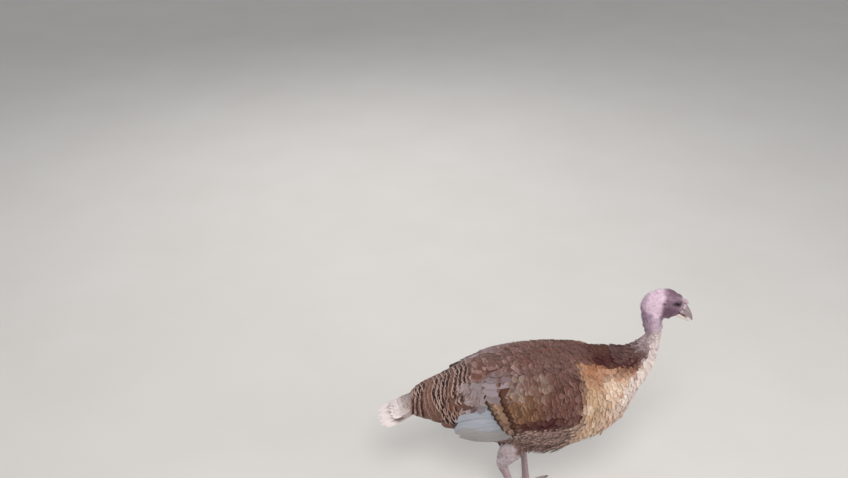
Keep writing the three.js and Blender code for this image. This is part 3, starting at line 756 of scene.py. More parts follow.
def head_skin():
    """Head and neck with their folds, ear openings and lids."""
    names = ["head", "neck_upper", "neck_lower", "snood"]
    piece = remeshed(solids_copy(names, "skin_head"), HEAD_VOXEL, 26)
    mesh = piece.data
    points = points_of(mesh)
    local = in_head(points)
    raise_by = head_shape(local) + throat_shape(local) + neck_folds(in_bird(points))
    bill_root = ease(local[:, 0], 15, 9)
    put_points(mesh, points + normals_of(mesh) * (raise_by * bill_root)[:, None] * MM)
    with editing(mesh) as work:
        for side in SIDES.values():
            lid = lid_mesh(side)
            work.from_mesh(lid)
            bpy.data.meshes.remove(lid)
        bmesh.ops.recalc_face_normals(work, faces=work.faces)
    remeshed(piece, HEAD_VOXEL * 0.9, 1)
    soften(piece, [eye_axes(side)[0] for side in SIDES.values()], LID_ZONE, 14)
    return piece


def leg_frame(side, p):
    """Distance along and round the nearest bone of the leg, for bird points: (along, round, bone)."""
    leg = LEGS[side]
    sign = SIDES[side]
    ankle = np.array([leg["ankle"][0], leg["ankle"][1], 6.0])
    bones = [(np.array(leg["hock"], float), np.array(leg["ankle"], float))]
    for _, length, turn in TOES:
        way = math.radians(-turn * sign)
        bones.append((ankle, ankle + length * np.array([math.cos(way), math.sin(way), 0])))
    best = np.full(len(p), 1e9)
    along = np.zeros(len(p))
    around = np.zeros(len(p))
    which = np.zeros(len(p))
    for index, (start, end) in enumerate(bones):
        direction = unit(end - start)
        reach = np.clip((p - start) @ direction, 0, np.linalg.norm(end - start))
        offset = p - start - reach[:, None] * direction
        distance = np.linalg.norm(offset, axis=1) + (0 if index else -2.5 * ease(p[:, 2], 16, 30))
        front = np.array([0, 0, 1.0]) if index else np.array([1.0, 0, 0])
        front = unit(front - direction * (front @ direction))
        across = np.cross(direction, front)
        nearer = distance < best
        best[nearer] = distance[nearer]
        along[nearer] = reach[nearer]
        around[nearer] = np.arctan2(offset[nearer] @ across, offset[nearer] @ front)
        which[nearer] = index
    return along, around, which


def scute_height(along, around, which):
    """Rows of scutes down the front of the shank and over each toe, with small scales elsewhere."""
    pitch = np.where(which == 0, 6.2, 4.0)
    shift = np.where(which == 0, 0.5 * (around > 0), 0.0)
    phase = (along / pitch + shift) % 1.0
    groove = ease(np.abs(phase - 0.5), 0.36, 0.5)
    split = np.where(which == 0, ease(np.abs(around), 0.16, 0.02), 0.0)
    reach = np.where(which == 0, 1.35, 1.15)
    top = ease(np.abs(around), reach + 0.3, reach)
    return top * (0.34 - 0.6 * np.maximum(groove, split)) - 0.05 * (1 - top)


def leg_skin(side):
    """Thigh, shank and foot with their scutes and the pads under the toes."""
    names = ["thigh_" + side, "shank_" + side, "foot_" + side]
    piece = remeshed(solids_copy(names, "skin_leg_" + side), LEG_VOXEL, 9)
    mesh = piece.data
    points = points_of(mesh)
    p = in_bird(points)
    height = p[:, 2]
    along, around, which = leg_frame(side, p)
    raise_by = scute_height(along, around, which) * ease(height, 190, 176)
    raise_by *= np.where(height < 1.6, 0.2, 1.0)
    pads = ease(height, 3.5, 0.5) * 0.25 * ripple(p, 2.4, 51)
    moved = points + normals_of(mesh) * (raise_by + pads)[:, None] * MM
    moved[:, 2] = np.maximum(moved[:, 2], 0)
    put_points(mesh, moved)
    return piece


def joined_skin():
    """The head, the body and the legs as one closed skin, each as fine as it needs."""
    head = head_skin()
    body = solids_copy(BODY_NODES + WING_NODES + SHANK_NODES, "skin_body")
    inner_mounds = [(place, [half - SKIN_UNDER_MOUNDS for half in half_sizes], slope)
                    for place, half_sizes, slope in TAIL_MOUNDS]
    body = remeshed(add_mounds(body, inner_mounds), BODY_VOXEL, 6)
    for piece in (head, body):
        sink(piece)
    seams = [(head, NECK_SEAM[0], NECK_SEAM[1])]
    for side in SIDES:
        leg = leg_skin(side)
        sink(leg)
        knee, hock = Vector(LEGS[side]["knee"]), Vector(LEGS[side]["hock"])
        place = Vector(from_bird(knee.lerp(hock, LEG_SEAM_SHARE)))
        seams.append((leg, place, (hock - knee).normalized()))
    gap = 0.6 * MM
    work = bmesh.new()
    for piece, place, normal in seams:
        keep_side(piece, place + normal * gap, normal)
        keep_side(body, place - normal * gap, -normal)
        work.from_mesh(piece.data)
        drop(piece)
    work.from_mesh(body.data)
    drop(body)
    open_edges = [edge for edge in work.edges if edge.is_boundary]
    for _, place, normal in seams:
        near = [e for e in open_edges if abs((e.verts[0].co - place).dot(normal)) < 4 * gap]
        near = [e for e in near if (e.verts[0].co - place).length < 0.12]
        bmesh.ops.bridge_loops(work, edges=near)
    bmesh.ops.recalc_face_normals(work, faces=work.faces)
    mesh = bpy.data.meshes.new("skin")
    work.to_mesh(mesh)
    work.free()
    smooth_faces(mesh)
    return new_object("skin", mesh)


HEAD_PALE = paint(232, 204, 222)
# The next three colours are painted shade on the face, its lower part and the front of the crown.
FACE_SHADE_MAUVE = paint(106, 75, 96)
LOWER_FACE_SHADE = paint(94, 62, 84)
CROWN_SHADE_BROWN = paint(122, 92, 104)
# A blue that is partly the skin's own, partly painted shade.
NAPE_BLUE_AND_SHADE = paint(132, 108, 134)
SNOOD_PALE = paint(196, 174, 184)
# Painted shade under the jaw.
THROAT_SHADE_PLUM = paint(118, 86, 108)
BARE_NECK = paint(218, 202, 212)
# Partly dark speckle, partly painted shade round the eyes and in the ear openings.
DARK_SPECKLE_AND_SHADE = paint(36, 22, 30)
LEG_PINK = paint(168, 146, 152)
TOE_PINK = paint(160, 138, 142)
SOLE_BUFF = paint(176, 152, 132)
DOME_MAUVE = paint(170, 142, 156)
# Painted shade on the rounded front of the neck.
NECK_FRONT_SHADE = paint(150, 124, 142)
SKIN_ROSE = paint(206, 150, 160)

SKIN_UNDER_COAT = 0.8  # how bright the feathered skin is beside its feathers
BARE_ABOVE = 512
SCALY_BELOW = 192


def eye_shade_patch(p, long, tall, slant):
    """1 in the middle of an oval round either eye, 0 outside it; slanted up toward the front by slant. It
    places the painted shade of the brow round the eye.
    """
    x, z = p[:, 0] - EYE_PLACE.x, p[:, 2] - EYE_PLACE.z
    turn = math.radians(slant)
    along = x * math.cos(turn) + z * math.sin(turn)
    up = z * math.cos(turn) - x * math.sin(turn)
    return mound(along / long, up / tall) * ease(np.abs(p[:, 1]), 7, 12)


def bare_colours(points):
    """Colours of the bare skin of head and neck, with painted shade over the front of the crown, the face and
    its lower part, the throat and the front of the neck, round each eye and in the ear openings; the nape's
    blue is partly painted shade.
    """
    p = in_head(points)
    p = p + 1.6 * np.stack([ripple(p, 8, 63), np.zeros(len(p)), ripple(p, 8, 64)], axis=1)
    x, y, z = p.T
    side = np.abs(y)
    behind = in_bird(points)[:, 0]
    height = in_bird(points)[:, 2] + 6 * ripple(p, 10, 65)
    crown = ease(x, -50, -28) * ease(z, 4, 16)
    face = ease(x + 0.36 * z, -38, -24)
    brow = mound((x - 1) / 10, (z - 16.5) / 2.2) * ease(side, 3, 9)
    hue = washed(HEAD_PALE, len(p), [
        (DOME_MAUVE, 0.7 * ease(z, 6, 22) * ease(x, -62, -44)),
        # Painted shade over the front of the crown, the face and, darker, its lower part.
        (CROWN_SHADE_BROWN, 0.85 * crown),
        (FACE_SHADE_MAUVE, 0.88 * face * (1 - 0.5 * crown)),
        (LOWER_FACE_SHADE, 0.75 * ease(z, -2, -16) * face),
        # The nape's blue, partly painted shade under the back of the head.
        (NAPE_BLUE_AND_SHADE, 0.85 * ease(x, -26, -38) * ease(z, -38, -58)),
        (NAPE_BLUE_AND_SHADE, 0.4 * ease(x, -58, -66) * ease(z, 2, -30)),
        # Painted shade on the throat under the jaw.
        (THROAT_SHADE_PLUM, 0.6 * ease(z, -44, -60) * ease(x + 0.36 * z, -42, -28)),
        (BARE_NECK, 0.8 * ease(height, 590, 552)),
        (NECK_WHITE, 0.7 * ease(height, 556, 524)),
        # The same partly painted shade down the back of the bare neck.
        (NAPE_BLUE_AND_SHADE, 0.65 * ease(behind, 254, 238) * ease(height, 592, 574)),
        (SNOOD_PALE, 0.35 * ease(x, 7, 12) * ease(z, -16, -4)),
        (SNOOD_PALE, 0.8 * ease(x, -3, 4) * ease(side, 9, 5) * ease(z, 6, 10)),
        (SNOOD_PALE, 0.4 * brow),
        # Painted shade in the hollow of the ear opening.
        (DARK_SPECKLE_AND_SHADE, 0.85 * mound(ear_distance(x, z)) * ease(side, 9, 13)),
        # Painted shade on the rounded front of the neck.
        (NECK_FRONT_SHADE, 0.4 * ease(x, -34, -22) * ease(z, -44, -56)),
        # Painted shade of the brow round each eye.
        (DARK_SPECKLE_AND_SHADE, np.clip(1.5 * eye_shade_patch(p, 9.5, 5.2, 30), 0, 0.95)),
        (DARK_SPECKLE_AND_SHADE, 0.25 * ease(ripple(p, 2.0, 62), 0.5, 1.1) * face),
        (SKIN_ROSE, 0.3 * ease(ripple(p, 9, 66), 0.4, 1.2)),
    ])
    hue *= (1 + 0.08 * ripple(p, 6, 61) + 0.07 * ripple(p, 2.4, 67))[:, None]
    return np.clip(hue, 0, 1)


def finish_skin(piece):
    """Keeps on the skin its colour and the pattern of the leg, and gives it its three finishes."""
    mesh = piece.data
    points = points_of(mesh)
    p = in_bird(points)
    _, y, z = p.T
    hue, _, _, _ = markings(p, nearest_parts(points))
    hue *= SKIN_UNDER_COAT
    bare = ease(z, 504, 522)
    hue = toward(hue, np.zeros(3), bare) + bare_colours(points) * bare[:, None]
    scaly = ease(z, 196, 182)
    leg = washed(LEG_PINK, len(p), [(TOE_PINK, ease(z, 60, 20)), (SOLE_BUFF, ease(z, 3.2, 1.0))])
    hue = toward(hue, np.zeros(3), scaly) + leg * scaly[:, None]
    store(mesh, "hue", "FLOAT_COLOR", hue)
    scute = np.zeros((len(p), 3))
    for side, sign in SIDES.items():
        chosen = (z < 215) & (y * sign > 0)
        scute[chosen] = np.stack(leg_frame(side, p[chosen]), axis=1)
    store(mesh, "scute", "FLOAT_VECTOR", scute)
    for material in (feathered_skin(), bare_skin(), leg_scales()):
        mesh.materials.append(material)
    heights = np.array([z[list(f.vertices)].mean() for f in mesh.polygons])
    slots = np.where(heights > BARE_ABOVE, 1, np.where(heights < SCALY_BELOW, 2, 0))
    mesh.polygons.foreach_set("material_index", slots.astype(np.int32))


# -------- materials

FEATHER_SHADOW = paint(70, 56, 52)
SKIN_FLUSH = paint(198, 150, 162)
PEBBLE_SHADOW = paint(110, 84, 100)
WRINKLE_SHADOW = paint(96, 74, 90)
SCALE_PALE = paint(190, 168, 166)
SCALE_GROOVE = paint(96, 78, 82)
TAIL_BAR = paint(92, 78, 78)
QUILL_BROWN = paint(140, 112, 98)
IRIS_DARK = paint(30, 17, 13)
IRIS_BROWN = paint(60, 36, 24)
IRIS_RIM = paint(26, 18, 18)
PUPIL = paint(5, 4, 4)
TONGUE_PINK = paint(150, 84, 92)
TONGUE_DARK = paint(110, 58, 66)
BAR_BLUR = 0.02


def fill(node, sockets):
    """Links or sets a node's inputs, given by name or number; None leaves one as it is."""
    links = node.id_data.links
    for key, value in sockets.items():
        if isinstance(value, bpy.types.NodeSocket):
            links.new(value, node.inputs[key])
        elif value is not None:
            node.inputs[key].default_value = value


def shaded(colour):
    return (*colour, 1.0)


class Finish:
    """A material under making: each method adds a node and gives back what comes out of it."""

    def __init__(self, name, **sockets):
        self.material = bpy.data.materials.new(name)
        self.material.use_nodes = True
        self.shader = self.material.node_tree.nodes["Principled BSDF"]
        fill(self.shader, {socket.replace("_", " "): value for socket, value in sockets.items()})

    def add(self, kind, sockets=None, output=0, **settings):
        node = self.material.node_tree.nodes.new("ShaderNode" + kind)
        for key, value in settings.items():
            setattr(node, key, value)
        fill(node, sockets or {})
        return node.outputs[output]

    def attribute(self, name, output="Fac"):
        return self.add("Attribute", output=output, attribute_name=name)

    def hue(self):
        return self.attribute("hue", "Color")

    def parts(self, vector):
        return self.add("SeparateXYZ", {0: vector}).node.outputs

    def joined(self, x, y):
        return self.add("CombineXYZ", {0: x, 1: y})

    def math(self, operation, *values):
        return self.add("Math", dict(enumerate(values)), operation=operation)

    def times(self, a, b):
        return self.math("MULTIPLY", a, b)

    def scaled(self, value, by, more):
        return self.math("MULTIPLY_ADD", value, by, more)

    def step(self, value, low, high):
        sockets = {"Value": value, "From Min": low, "From Max": high}
        return self.add("MapRange", sockets, interpolation_type="SMOOTHSTEP")

    def mix(self, share, a, b, blend="MIX"):
        return self.add("Mix", {0: share, 6: a, 7: b}, 2, data_type="RGBA", blend_type=blend)

    def tinted(self, colour, share, strength, tint):
        """The colour drawn toward a tint by a share times a strength."""
        return self.mix(self.times(share, strength), colour, shaded(tint))

    def on_object(self):
        return self.add("TexCoord", output="Object")

    def noise(self, scale, detail=3.0, vector=None, roughness=0.55, stretch=None):
        if vector is None:
            vector = self.on_object()
        if stretch:
            vector = self.add("Mapping", {"Vector": vector, "Scale": stretch})
        sockets = {"Scale": scale, "Detail": detail, "Roughness": roughness, "Vector": vector}
        return self.add("TexNoise", sockets, "Fac")

    def cells(self, feature, scale, **sockets):
        sockets.update(Scale=scale, Vector=self.on_object())
        return self.add("TexVoronoi", sockets, "Distance", feature=feature)

    def bump(self, height, strength, distance, normal=None):
        sockets = {"Strength": strength, "Distance": distance, "Height": height, "Normal": normal}
        return self.add("Bump", sockets)

    def done(self, colour=None, roughness=None, normal=None):
        fill(self.shader, {"Base Color": colour, "Roughness": roughness, "Normal": normal})
        return self.material


def feathered_skin():
    finish = Finish("feathered_skin", Specular_IOR_Level=0.2)
    speckle = finish.noise(420, 2)
    colour = finish.tinted(finish.hue(), speckle, 0.4, FEATHER_SHADOW)
    return finish.done(colour, 0.85, finish.bump(speckle, 0.5, 0.001))


def bare_skin():
    """Thin bare skin: fine pebbles in shallow folds, with a faint flush of blood."""
    finish = Finish("bare_skin", Specular_IOR_Level=0.3, Subsurface_Weight=0.1,
                    Subsurface_Radius=(1.0, 0.4, 0.3), Subsurface_Scale=0.002)
    blotch = finish.noise(130, 4)
    wrinkles = finish.noise(240, 6, roughness=0.7)
    grain = finish.cells("SMOOTH_F1", 780, Smoothness=0.5)
    colour = finish.tinted(finish.hue(), finish.step(blotch, 0.55, 0.8), 0.3, SKIN_FLUSH)
    colour = finish.tinted(colour, finish.step(grain, 0.35, 0.75), 0.12, PEBBLE_SHADOW)
    colour = finish.tinted(colour, finish.step(wrinkles, 0.5, 0.3), 0.22, WRINKLE_SHADOW)
    normal = finish.bump(wrinkles, 0.55, 0.0012)
    normal = finish.bump(finish.math("SUBTRACT", 1.0, grain), 0.4, 0.0005, normal)
    return finish.done(colour, finish.scaled(blotch, 0.2, 0.45), normal)


def leg_scales():
    """Broad scutes in front, from the pattern kept on the skin, and small scales elsewhere."""
    finish = Finish("leg_scales", Specular_IOR_Level=0.4)
    along, around, bone = finish.parts(finish.attribute("scute", "Vector"))
    shank = finish.math("LESS_THAN", bone, 0.5)
    half = finish.times(finish.math("GREATER_THAN", around, 0.0), finish.times(shank, 0.5))
    phase = finish.math("DIVIDE", along, finish.scaled(shank, 2.2, 4.0))
    phase = finish.math("FRACT", finish.math("ADD", phase, half))
    groove = finish.step(finish.math("ABSOLUTE", finish.math("SUBTRACT", phase, 0.5)), 0.4, 0.5)
    top = finish.step(finish.math("ABSOLUTE", around), 1.6, 1.25)
    grains = finish.step(finish.cells("DISTANCE_TO_EDGE", 420), 0.0, 0.22)
    small = finish.times(finish.math("SUBTRACT", 1.0, grains), finish.math("SUBTRACT", 1.0, top))
    lines = finish.math("MAXIMUM", finish.times(groove, top), small)
    blotch = finish.noise(120, 4)
    colour = finish.mix(finish.step(blotch, 0.45, 0.75), finish.hue(), shaded(SCALE_PALE))
    colour = finish.tinted(colour, lines, 0.6, SCALE_GROOVE)
    height = finish.math("SUBTRACT", finish.times(blotch, 0.3), lines)
    return finish.done(colour, 0.5, finish.bump(height, 0.6, 0.0006))


def vane_finish(name, barbs, gloss, bar_at=(0.68, 0.88), edge_at=(0.84, 0.94), cup=0.1, margin=None,
                tail_marks=False, quill_shows=0.14):
    """The finish of feathers: barbs that leave the quill at a slant, a dark bar and a pale edge."""
    finish = Finish(name, Specular_IOR_Level=0.14, Sheen_Weight=0.03, Sheen_Roughness=0.5)
    times, scaled, step = finish.times, finish.scaled, finish.step
    across, along, _ = finish.parts(finish.add("UVMap", uv_map="vane"))
    side = finish.math("ABSOLUTE", scaled(across, 2.0, -1.0))
    grain = finish.attribute("grain")
    bar, edging, wear = finish.parts(finish.attribute("mark", "Vector"))
    offset = times(grain, 37.0)
    wobble = finish.noise(5, 3, vector=finish.joined(finish.math("ADD", along, offset), across))
    slant = scaled(wobble, 0.06, scaled(side, -0.28, along))
    barb = scaled(finish.math("SINE", times(slant, barbs)), 0.5, 0.5)
    fine = finish.joined(scaled(slant, 30.0, offset), times(across, 2.2))
    ripples = finish.noise(1.3, 4, vector=fine, roughness=0.6)
    reach = finish.math("ADD", along, times(times(side, side), cup))
    reach = scaled(finish.math("SUBTRACT", wobble, 0.5), 0.08, reach)
    shade = times(scaled(barb, 0.12, 0.89), scaled(grain, 0.24, 0.9))
    shade = times(shade, scaled(step(along, 0.1, 0.6), 0.3, 0.7))
    shade = times(shade, scaled(ripples, 0.5, 0.75))
    grey = finish.add("CombineColor", dict.fromkeys(range(3), shade))
    colour = finish.mix(1.0, finish.hue(), grey, "MULTIPLY")
    tip_hue = finish.attribute("tip_hue", "Color")
    if tail_marks:
        band = times(step(reach, 0.62, 0.7), step(reach, 0.84, 0.78))
        band = times(band, step(wobble, 0.42, 0.62))
        colour = finish.tinted(colour, band, bar, TAIL_BAR)
        colour = finish.mix(step(reach, 0.76, 0.88), colour, tip_hue)
    else:
        streak = times(step(ripples, 0.46, 0.68), scaled(wear, 0.5, 0.1))
        colour = finish.mix(streak, colour, tip_hue)
        start, end = bar_at
        band = step(reach, end + BAR_BLUR, end - BAR_BLUR)
        band = times(step(reach, start - BAR_BLUR, start + BAR_BLUR), band)
        colour = finish.tinted(colour, band, bar, BAR_BLACK)
        edge = step(reach, *edge_at)
        if margin:
            edge = finish.math("MAXIMUM", edge, step(side, *margin))
        colour = finish.mix(times(edge, edging), colour, tip_hue)
    quill = times(step(side, 0.08, 0.02), step(along, 0.96, 0.7))
    colour = finish.tinted(colour, quill, quill_shows, QUILL_BROWN)
    height = finish.math("ADD", times(barb, 0.4), quill)
    return finish.done(colour, scaled(barb, 0.12, gloss), finish.bump(height, 0.4, 0.0006))


def horn_finish(name, pale, dark, scale):
    finish = Finish(name, Specular_IOR_Level=0.5)
    place = finish.attribute("grain_place", "Vector")
    streaks = finish.noise(scale, 5, vector=place, stretch=(0.16, 1.0, 1.0))
    colour = finish.tinted(finish.hue(), finish.step(streaks, 0.46, 0.7), 0.4, dark)
    colour = finish.tinted(colour, finish.step(streaks, 0.5, 0.3), 0.3, pale)
    return finish.done(colour, finish.scaled(streaks, 0.2, 0.28), finish.bump(streaks, 0.25, 0.0004))


def eye_finish():
    """The eyeball: a dark brown iris round a black pupil, under a clear wet front."""
    finish = Finish("eye", Specular_IOR_Level=0.3, Coat_Weight=0.25, Coat_Roughness=0.04)
    off_axis = finish.attribute("off_axis")
    iris = finish.mix(finish.noise(900, 3), shaded(IRIS_DARK), shaded(IRIS_BROWN))
    colour = finish.mix(finish.step(off_axis, 0.6, 0.72), iris, shaded(IRIS_RIM))
    colour = finish.mix(finish.step(off_axis, 0.4, 0.35), colour, shaded(PUPIL))
    return finish.done(colour, 0.2)


def tongue_finish():
    finish = Finish("tongue", Specular_IOR_Level=0.5)
    bumps = finish.noise(1400, 2)
    colour = finish.mix(bumps, shaded(TONGUE_PINK), shaded(TONGUE_DARK))
    return finish.done(colour, 0.35, finish.bump(bumps, 0.3, 0.0003))


# -------- vanes


def vane_template(title, across, along, shape, rng):
    """One feather of length 1 and width 1, lying along +X with its outside up: a thin closed vane.

    shape gives the width at root and tip as shares of the widest place, where that is, how ragged
    the rim is, how far the vane arches and how deep its tip is fringed.
    """
    root, tip, widest, ragged, arch, fringe = shape
    rows = 1 - (1 - np.linspace(0, 1, along + 1)) ** 1.4
    columns = np.linspace(-1, 1, across + 1)
    late = np.clip((rows - widest) / (1 - widest), 0, 1)
    width = np.interp(rows, [0, widest * 0.5, widest], [root, 0.82, 1.0])
    width *= tip + (1 - tip) * np.sqrt(1 - late**2.2)
    teeth = fringe * rng.uniform(-1.0, 0.1, across + 1)
    split_row = rng.integers(along // 2, along)
    split_side = rng.integers(0, 2)
    points = []
    marks = []
    for j, v in enumerate(rows):
        for i, u in enumerate(columns):
            x = v + (teeth[i] - 0.35 * tip * u * u * (1 - widest)) * late[j] ** 2
            y = 0.5 * u * width[j]
            if abs(u) == 1 and 0 < j < along:
                y *= 1 + ragged * rng.uniform(-1.2, 0.8)
                x += 0.6 * ragged * rng.uniform(-0.5, 0.5) / along
                if j == split_row and (u > 0) == bool(split_side):
                    y *= 1 - 2.0 * ragged
            shell = (1 - u * u) * min(1.0, 6 * v + 0.25)
            points.append((x, y, arch * shell * width[j]))
            marks.append((u, v, shell * width[j]))
    wide = across + 1
    faces = []
    smooth = []
    for j in range(along):
        for i in range(across):
            a = j * wide + i
            faces.append((a, a + wide, a + wide + 1, a + 1))
            smooth.append(True)
    for j in range(along - 1):
        a = j * wide
        faces.append((a, a + across, a + wide + across, a + wide))
        smooth.append(False)
    last = (along - 1) * wide
    end = along * wide
    faces.append((last, last + across, *[end + i for i in range(across, -1, -1)]))
    faces.append(tuple(range(across + 1)))
    smooth += [False, False]
    mesh = bpy.data.meshes.new(title)
    mesh.from_pydata(points, [], faces)
    mesh.polygons.foreach_set("use_smooth", smooth)
    store(mesh, "vane_place", "FLOAT_VECTOR", marks)
    corners = np.array([marks[loop.vertex_index] for loop in mesh.loops])
    store(mesh, "vane", "FLOAT2", np.stack([corners[:, 0] * 0.5 + 0.5, corners[:, 1]], axis=1), "CORNER")
    return new_object(title, mesh)


def vane_set(title, variants, across, along, shape, seed):
    """A collection of a few different vanes of one kind."""
    rng = np.random.default_rng(seed)
    group = bpy.data.collections.new(title)
    bpy.context.scene.collection.children.link(group)
    for index in range(variants):
        piece = vane_template(f"{title}_{index}", across, along, shape, rng)
        bpy.context.scene.collection.objects.unlink(piece)
        group.objects.link(piece)
        piece.hide_render = True
        shut_rim(piece.data, across, along)
    return group


def shut_rim(mesh, across, along):
    """Marks the rim sharp, so that the outside of a vane shades by itself."""
    wide = across + 1
    rim = set()
    for j in range(along + 1):
        rim.update((j * wide, j * wide + across))
    for i in range(wide):
        rim.update((i, along * wide + i))
    sharp = [all(v in rim for v in edge.vertices) for edge in mesh.edges]
    attribute = mesh.attributes.new("sharp_edge", "BOOLEAN", "EDGE")
    attribute.data.foreach_set("value", sharp)


# -------- the tree that lays the coat


def coat_tree():
    """Puts a vane on each root, lays it on the form, gives it its patch of the bake map and its finish."""
    tree = bpy.data.node_groups.new("lay_coat", "GeometryNodeTree")
    given_kinds = {"Roots": "Geometry", "Vanes": "Collection", "Form": "Object", "Finish": "Material",
                   "Patch": "Float"}
    for name, kind in given_kinds.items():
        tree.interface.new_socket(name, in_out="INPUT", socket_type="NodeSocket" + kind)
    tree.interface.new_socket("Coat", in_out="OUTPUT", socket_type="NodeSocketGeometry")

    def add(kind, sockets=None, **settings):
        node = tree.nodes.new(kind)
        for key, value in settings.items():
            setattr(node, key, value)
        fill(node, sockets or {})
        return node.outputs

    def kept(name, kind="FLOAT_VECTOR"):
        return add("GeometryNodeInputNamedAttribute", {"Name": name}, data_type=kind)["Attribute"]

    def arithmetic(operation, *values):
        return add("ShaderNodeMath", dict(enumerate(values)), operation=operation)[0]

    def vector(operation, a, b):
        return add("ShaderNodeVectorMath", {0: a, 1: b}, operation=operation)[0]

    def scaled(value, by):
        return add("ShaderNodeVectorMath", {0: value, "Scale": by}, operation="SCALE")[0]

    def split(value):
        return add("ShaderNodeSeparateXYZ", {0: value})

    given = add("NodeGroupInput")
    variants = {"Collection": given["Vanes"], "Separate Children": True, "Reset Children": True}
    vanes = add("GeometryNodeCollectionInfo", variants)[0]
    form = add("GeometryNodeObjectInfo", {"Object": given["Form"]}, transform_space="ORIGINAL")["Geometry"]
    placed = add("GeometryNodeInstanceOnPoints", {
        "Points": given["Roots"],
        "Instance": vanes,
        "Pick Instance": True,
        "Instance Index": kept("kind", "INT"),
        "Rotation": kept("turn"),
        "Scale": kept("size"),
    })[0]
    real = add("GeometryNodeRealizeInstances", {0: placed})[0]

    def on_form(value):
        sockets = {"Mesh": form, "Value": value}
        return add("GeometryNodeSampleNearestSurface", sockets, data_type="FLOAT_VECTOR")["Value"]

    here = add("GeometryNodeInputPosition")[0]
    foot = on_form(here)
    outward = on_form(kept("outward"))
    u, v, shell = split(kept("vane_place"))
    root, tip, tilt = split(kept("lift"))
    arch, hug, _ = split(kept("lay"))
    rise = arithmetic("POWER", v, 1.3)
    height = arithmetic("MULTIPLY_ADD", rise, arithmetic("SUBTRACT", tip, root), root)
    height = arithmetic("MULTIPLY_ADD", u, tilt, height)
    height = arithmetic("MULTIPLY_ADD", shell, arch, height)
    laid = vector("ADD", foot, scaled(outward, height))
    shift = scaled(vector("SUBTRACT", laid, here), hug)
    moved = add("GeometryNodeSetPosition", {"Geometry": real, "Offset": shift})[0]

    centred = vector("SUBTRACT", kept("vane"), (0.5, 0.5, 0))
    patch = vector("ADD", kept("root_uv"), scaled(centred, given["Patch"]))
    stored = {"Name": "OFBake", "Geometry": moved, "Value": patch}
    baked = add("GeometryNodeStoreNamedAttribute", stored, data_type="FLOAT2", domain="CORNER")[0]
    dressed = add("GeometryNodeSetMaterial", {"Geometry": baked, "Material": given["Finish"]})[0]
    add("NodeGroupOutput", {0: dressed})
    return tree


COAT_TREE = coat_tree()
COAT_SOCKETS = {
    item.name: item.identifier
    for item in COAT_TREE.interface.items_tree
    if item.in_out == "INPUT"
}
ROOT_VALUES = {
    "turn": "FLOAT_VECTOR",
    "size": "FLOAT_VECTOR",
    "kind": "INT",
    "lift": "FLOAT_VECTOR",
    "lay": "FLOAT_VECTOR",
    "root_uv": "FLOAT_VECTOR",
    "hue": "FLOAT_COLOR",
    "tip_hue": "FLOAT_COLOR",
    "mark": "FLOAT_VECTOR",
    "grain": "FLOAT",
}
WORKING_MARKS = ("kind", "turn", "size", "lift", "lay", "root_uv", "vane_place")
BAKE_PATCH = 0.003  # the side of one feather's patch of the bake map


def lay_coat(name, roots, vanes, form, finish):
    """The feathers of one part of the body as a plain mesh that rides on the root."""
    mesh = bpy.data.meshes.new(name)
    mesh.from_pydata([tuple(p) for p in roots["place"]], [], [])
    for key, kind in ROOT_VALUES.items():
        store(mesh, key, kind, roots[key])
    piece = new_object(name, mesh)
    layer = piece.modifiers.new("lay_coat", "NODES")
    layer.node_group = COAT_TREE
    for socket, value in {"Vanes": vanes, "Form": form, "Finish": finish, "Patch": BAKE_PATCH}.items():
        layer[COAT_SOCKETS[socket]] = value
    applied(piece)
    for mark in WORKING_MARKS:
        piece.data.attributes.remove(piece.data.attributes[mark])
    ride_root(piece)
    return piece


# -------- where the feathers grow

body_steps = np.linspace(0, len(BODY_LINE) - 1, 240)
line_steps = np.arange(len(BODY_LINE))
body_curve = np.stack([np.interp(body_steps, line_steps, line) for line in BODY_LINE.T], axis=1)
for _ in range(60):
    body_curve[1:-1] = (body_curve[:-2] + 2 * body_curve[1:-1] + body_curve[2:]) / 4
body_way = unit(np.gradient(body_curve, axis=0))
body_run = np.concatenate([[0], np.cumsum(np.linalg.norm(np.diff(body_curve, axis=0), axis=1))])
AT_ONCE = 4000  # points worked on together, to spare memory


def along_body(p):
    """Distance along the body's middle line, its direction there, and the offset from it."""
    way = np.empty_like(p)
    run = np.empty(len(p))
    offset = np.empty_like(p)
    for start in range(0, len(p), AT_ONCE):
        span = slice(start, start + AT_ONCE)
        distance = np.linalg.norm(p[span][:, None] - body_curve[None], axis=2)
        weight = np.exp(-(distance - distance.min(axis=1, keepdims=True)) / 14.0)
        weight /= weight.sum(axis=1, keepdims=True)
        way[span] = weight @ body_way
        run[span] = weight @ body_run
        offset[span] = p[span] - weight @ body_curve
    return run, unit(way), offset


def unwrap(p):
    """Each root's place on the unwrapped skin: along the body one way and round it the other."""
    run, way, offset = along_body(p)
    above = np.cross(way, np.array([0, 1.0, 0]))
    turn = np.arctan2(offset[:, 1], (offset * unit(above)).sum(axis=1))
    return np.stack([0.02 + 0.96 * run / body_run[-1], 0.5 + 0.48 * turn / math.pi, np.zeros(len(p))], axis=1)


def lie(p, parts, normals):
    """The way the feathers point, along the surface."""
    _, way, _ = along_body(p)
    flank = (parts == TRUNK) * ease(np.abs(p[:, 1]), 20, 90)
    way[:, 2] -= 0.22 * flank
    way[parts == WING] = [-1.0, 0.0, -0.2]
    way[parts == THIGH] = [-0.3, 0.0, -1.0]
    way += 0.10 * np.stack([ripple(p, 30, seed) for seed in (71, 72, 73)], axis=1)
    return square_to(way, normals)


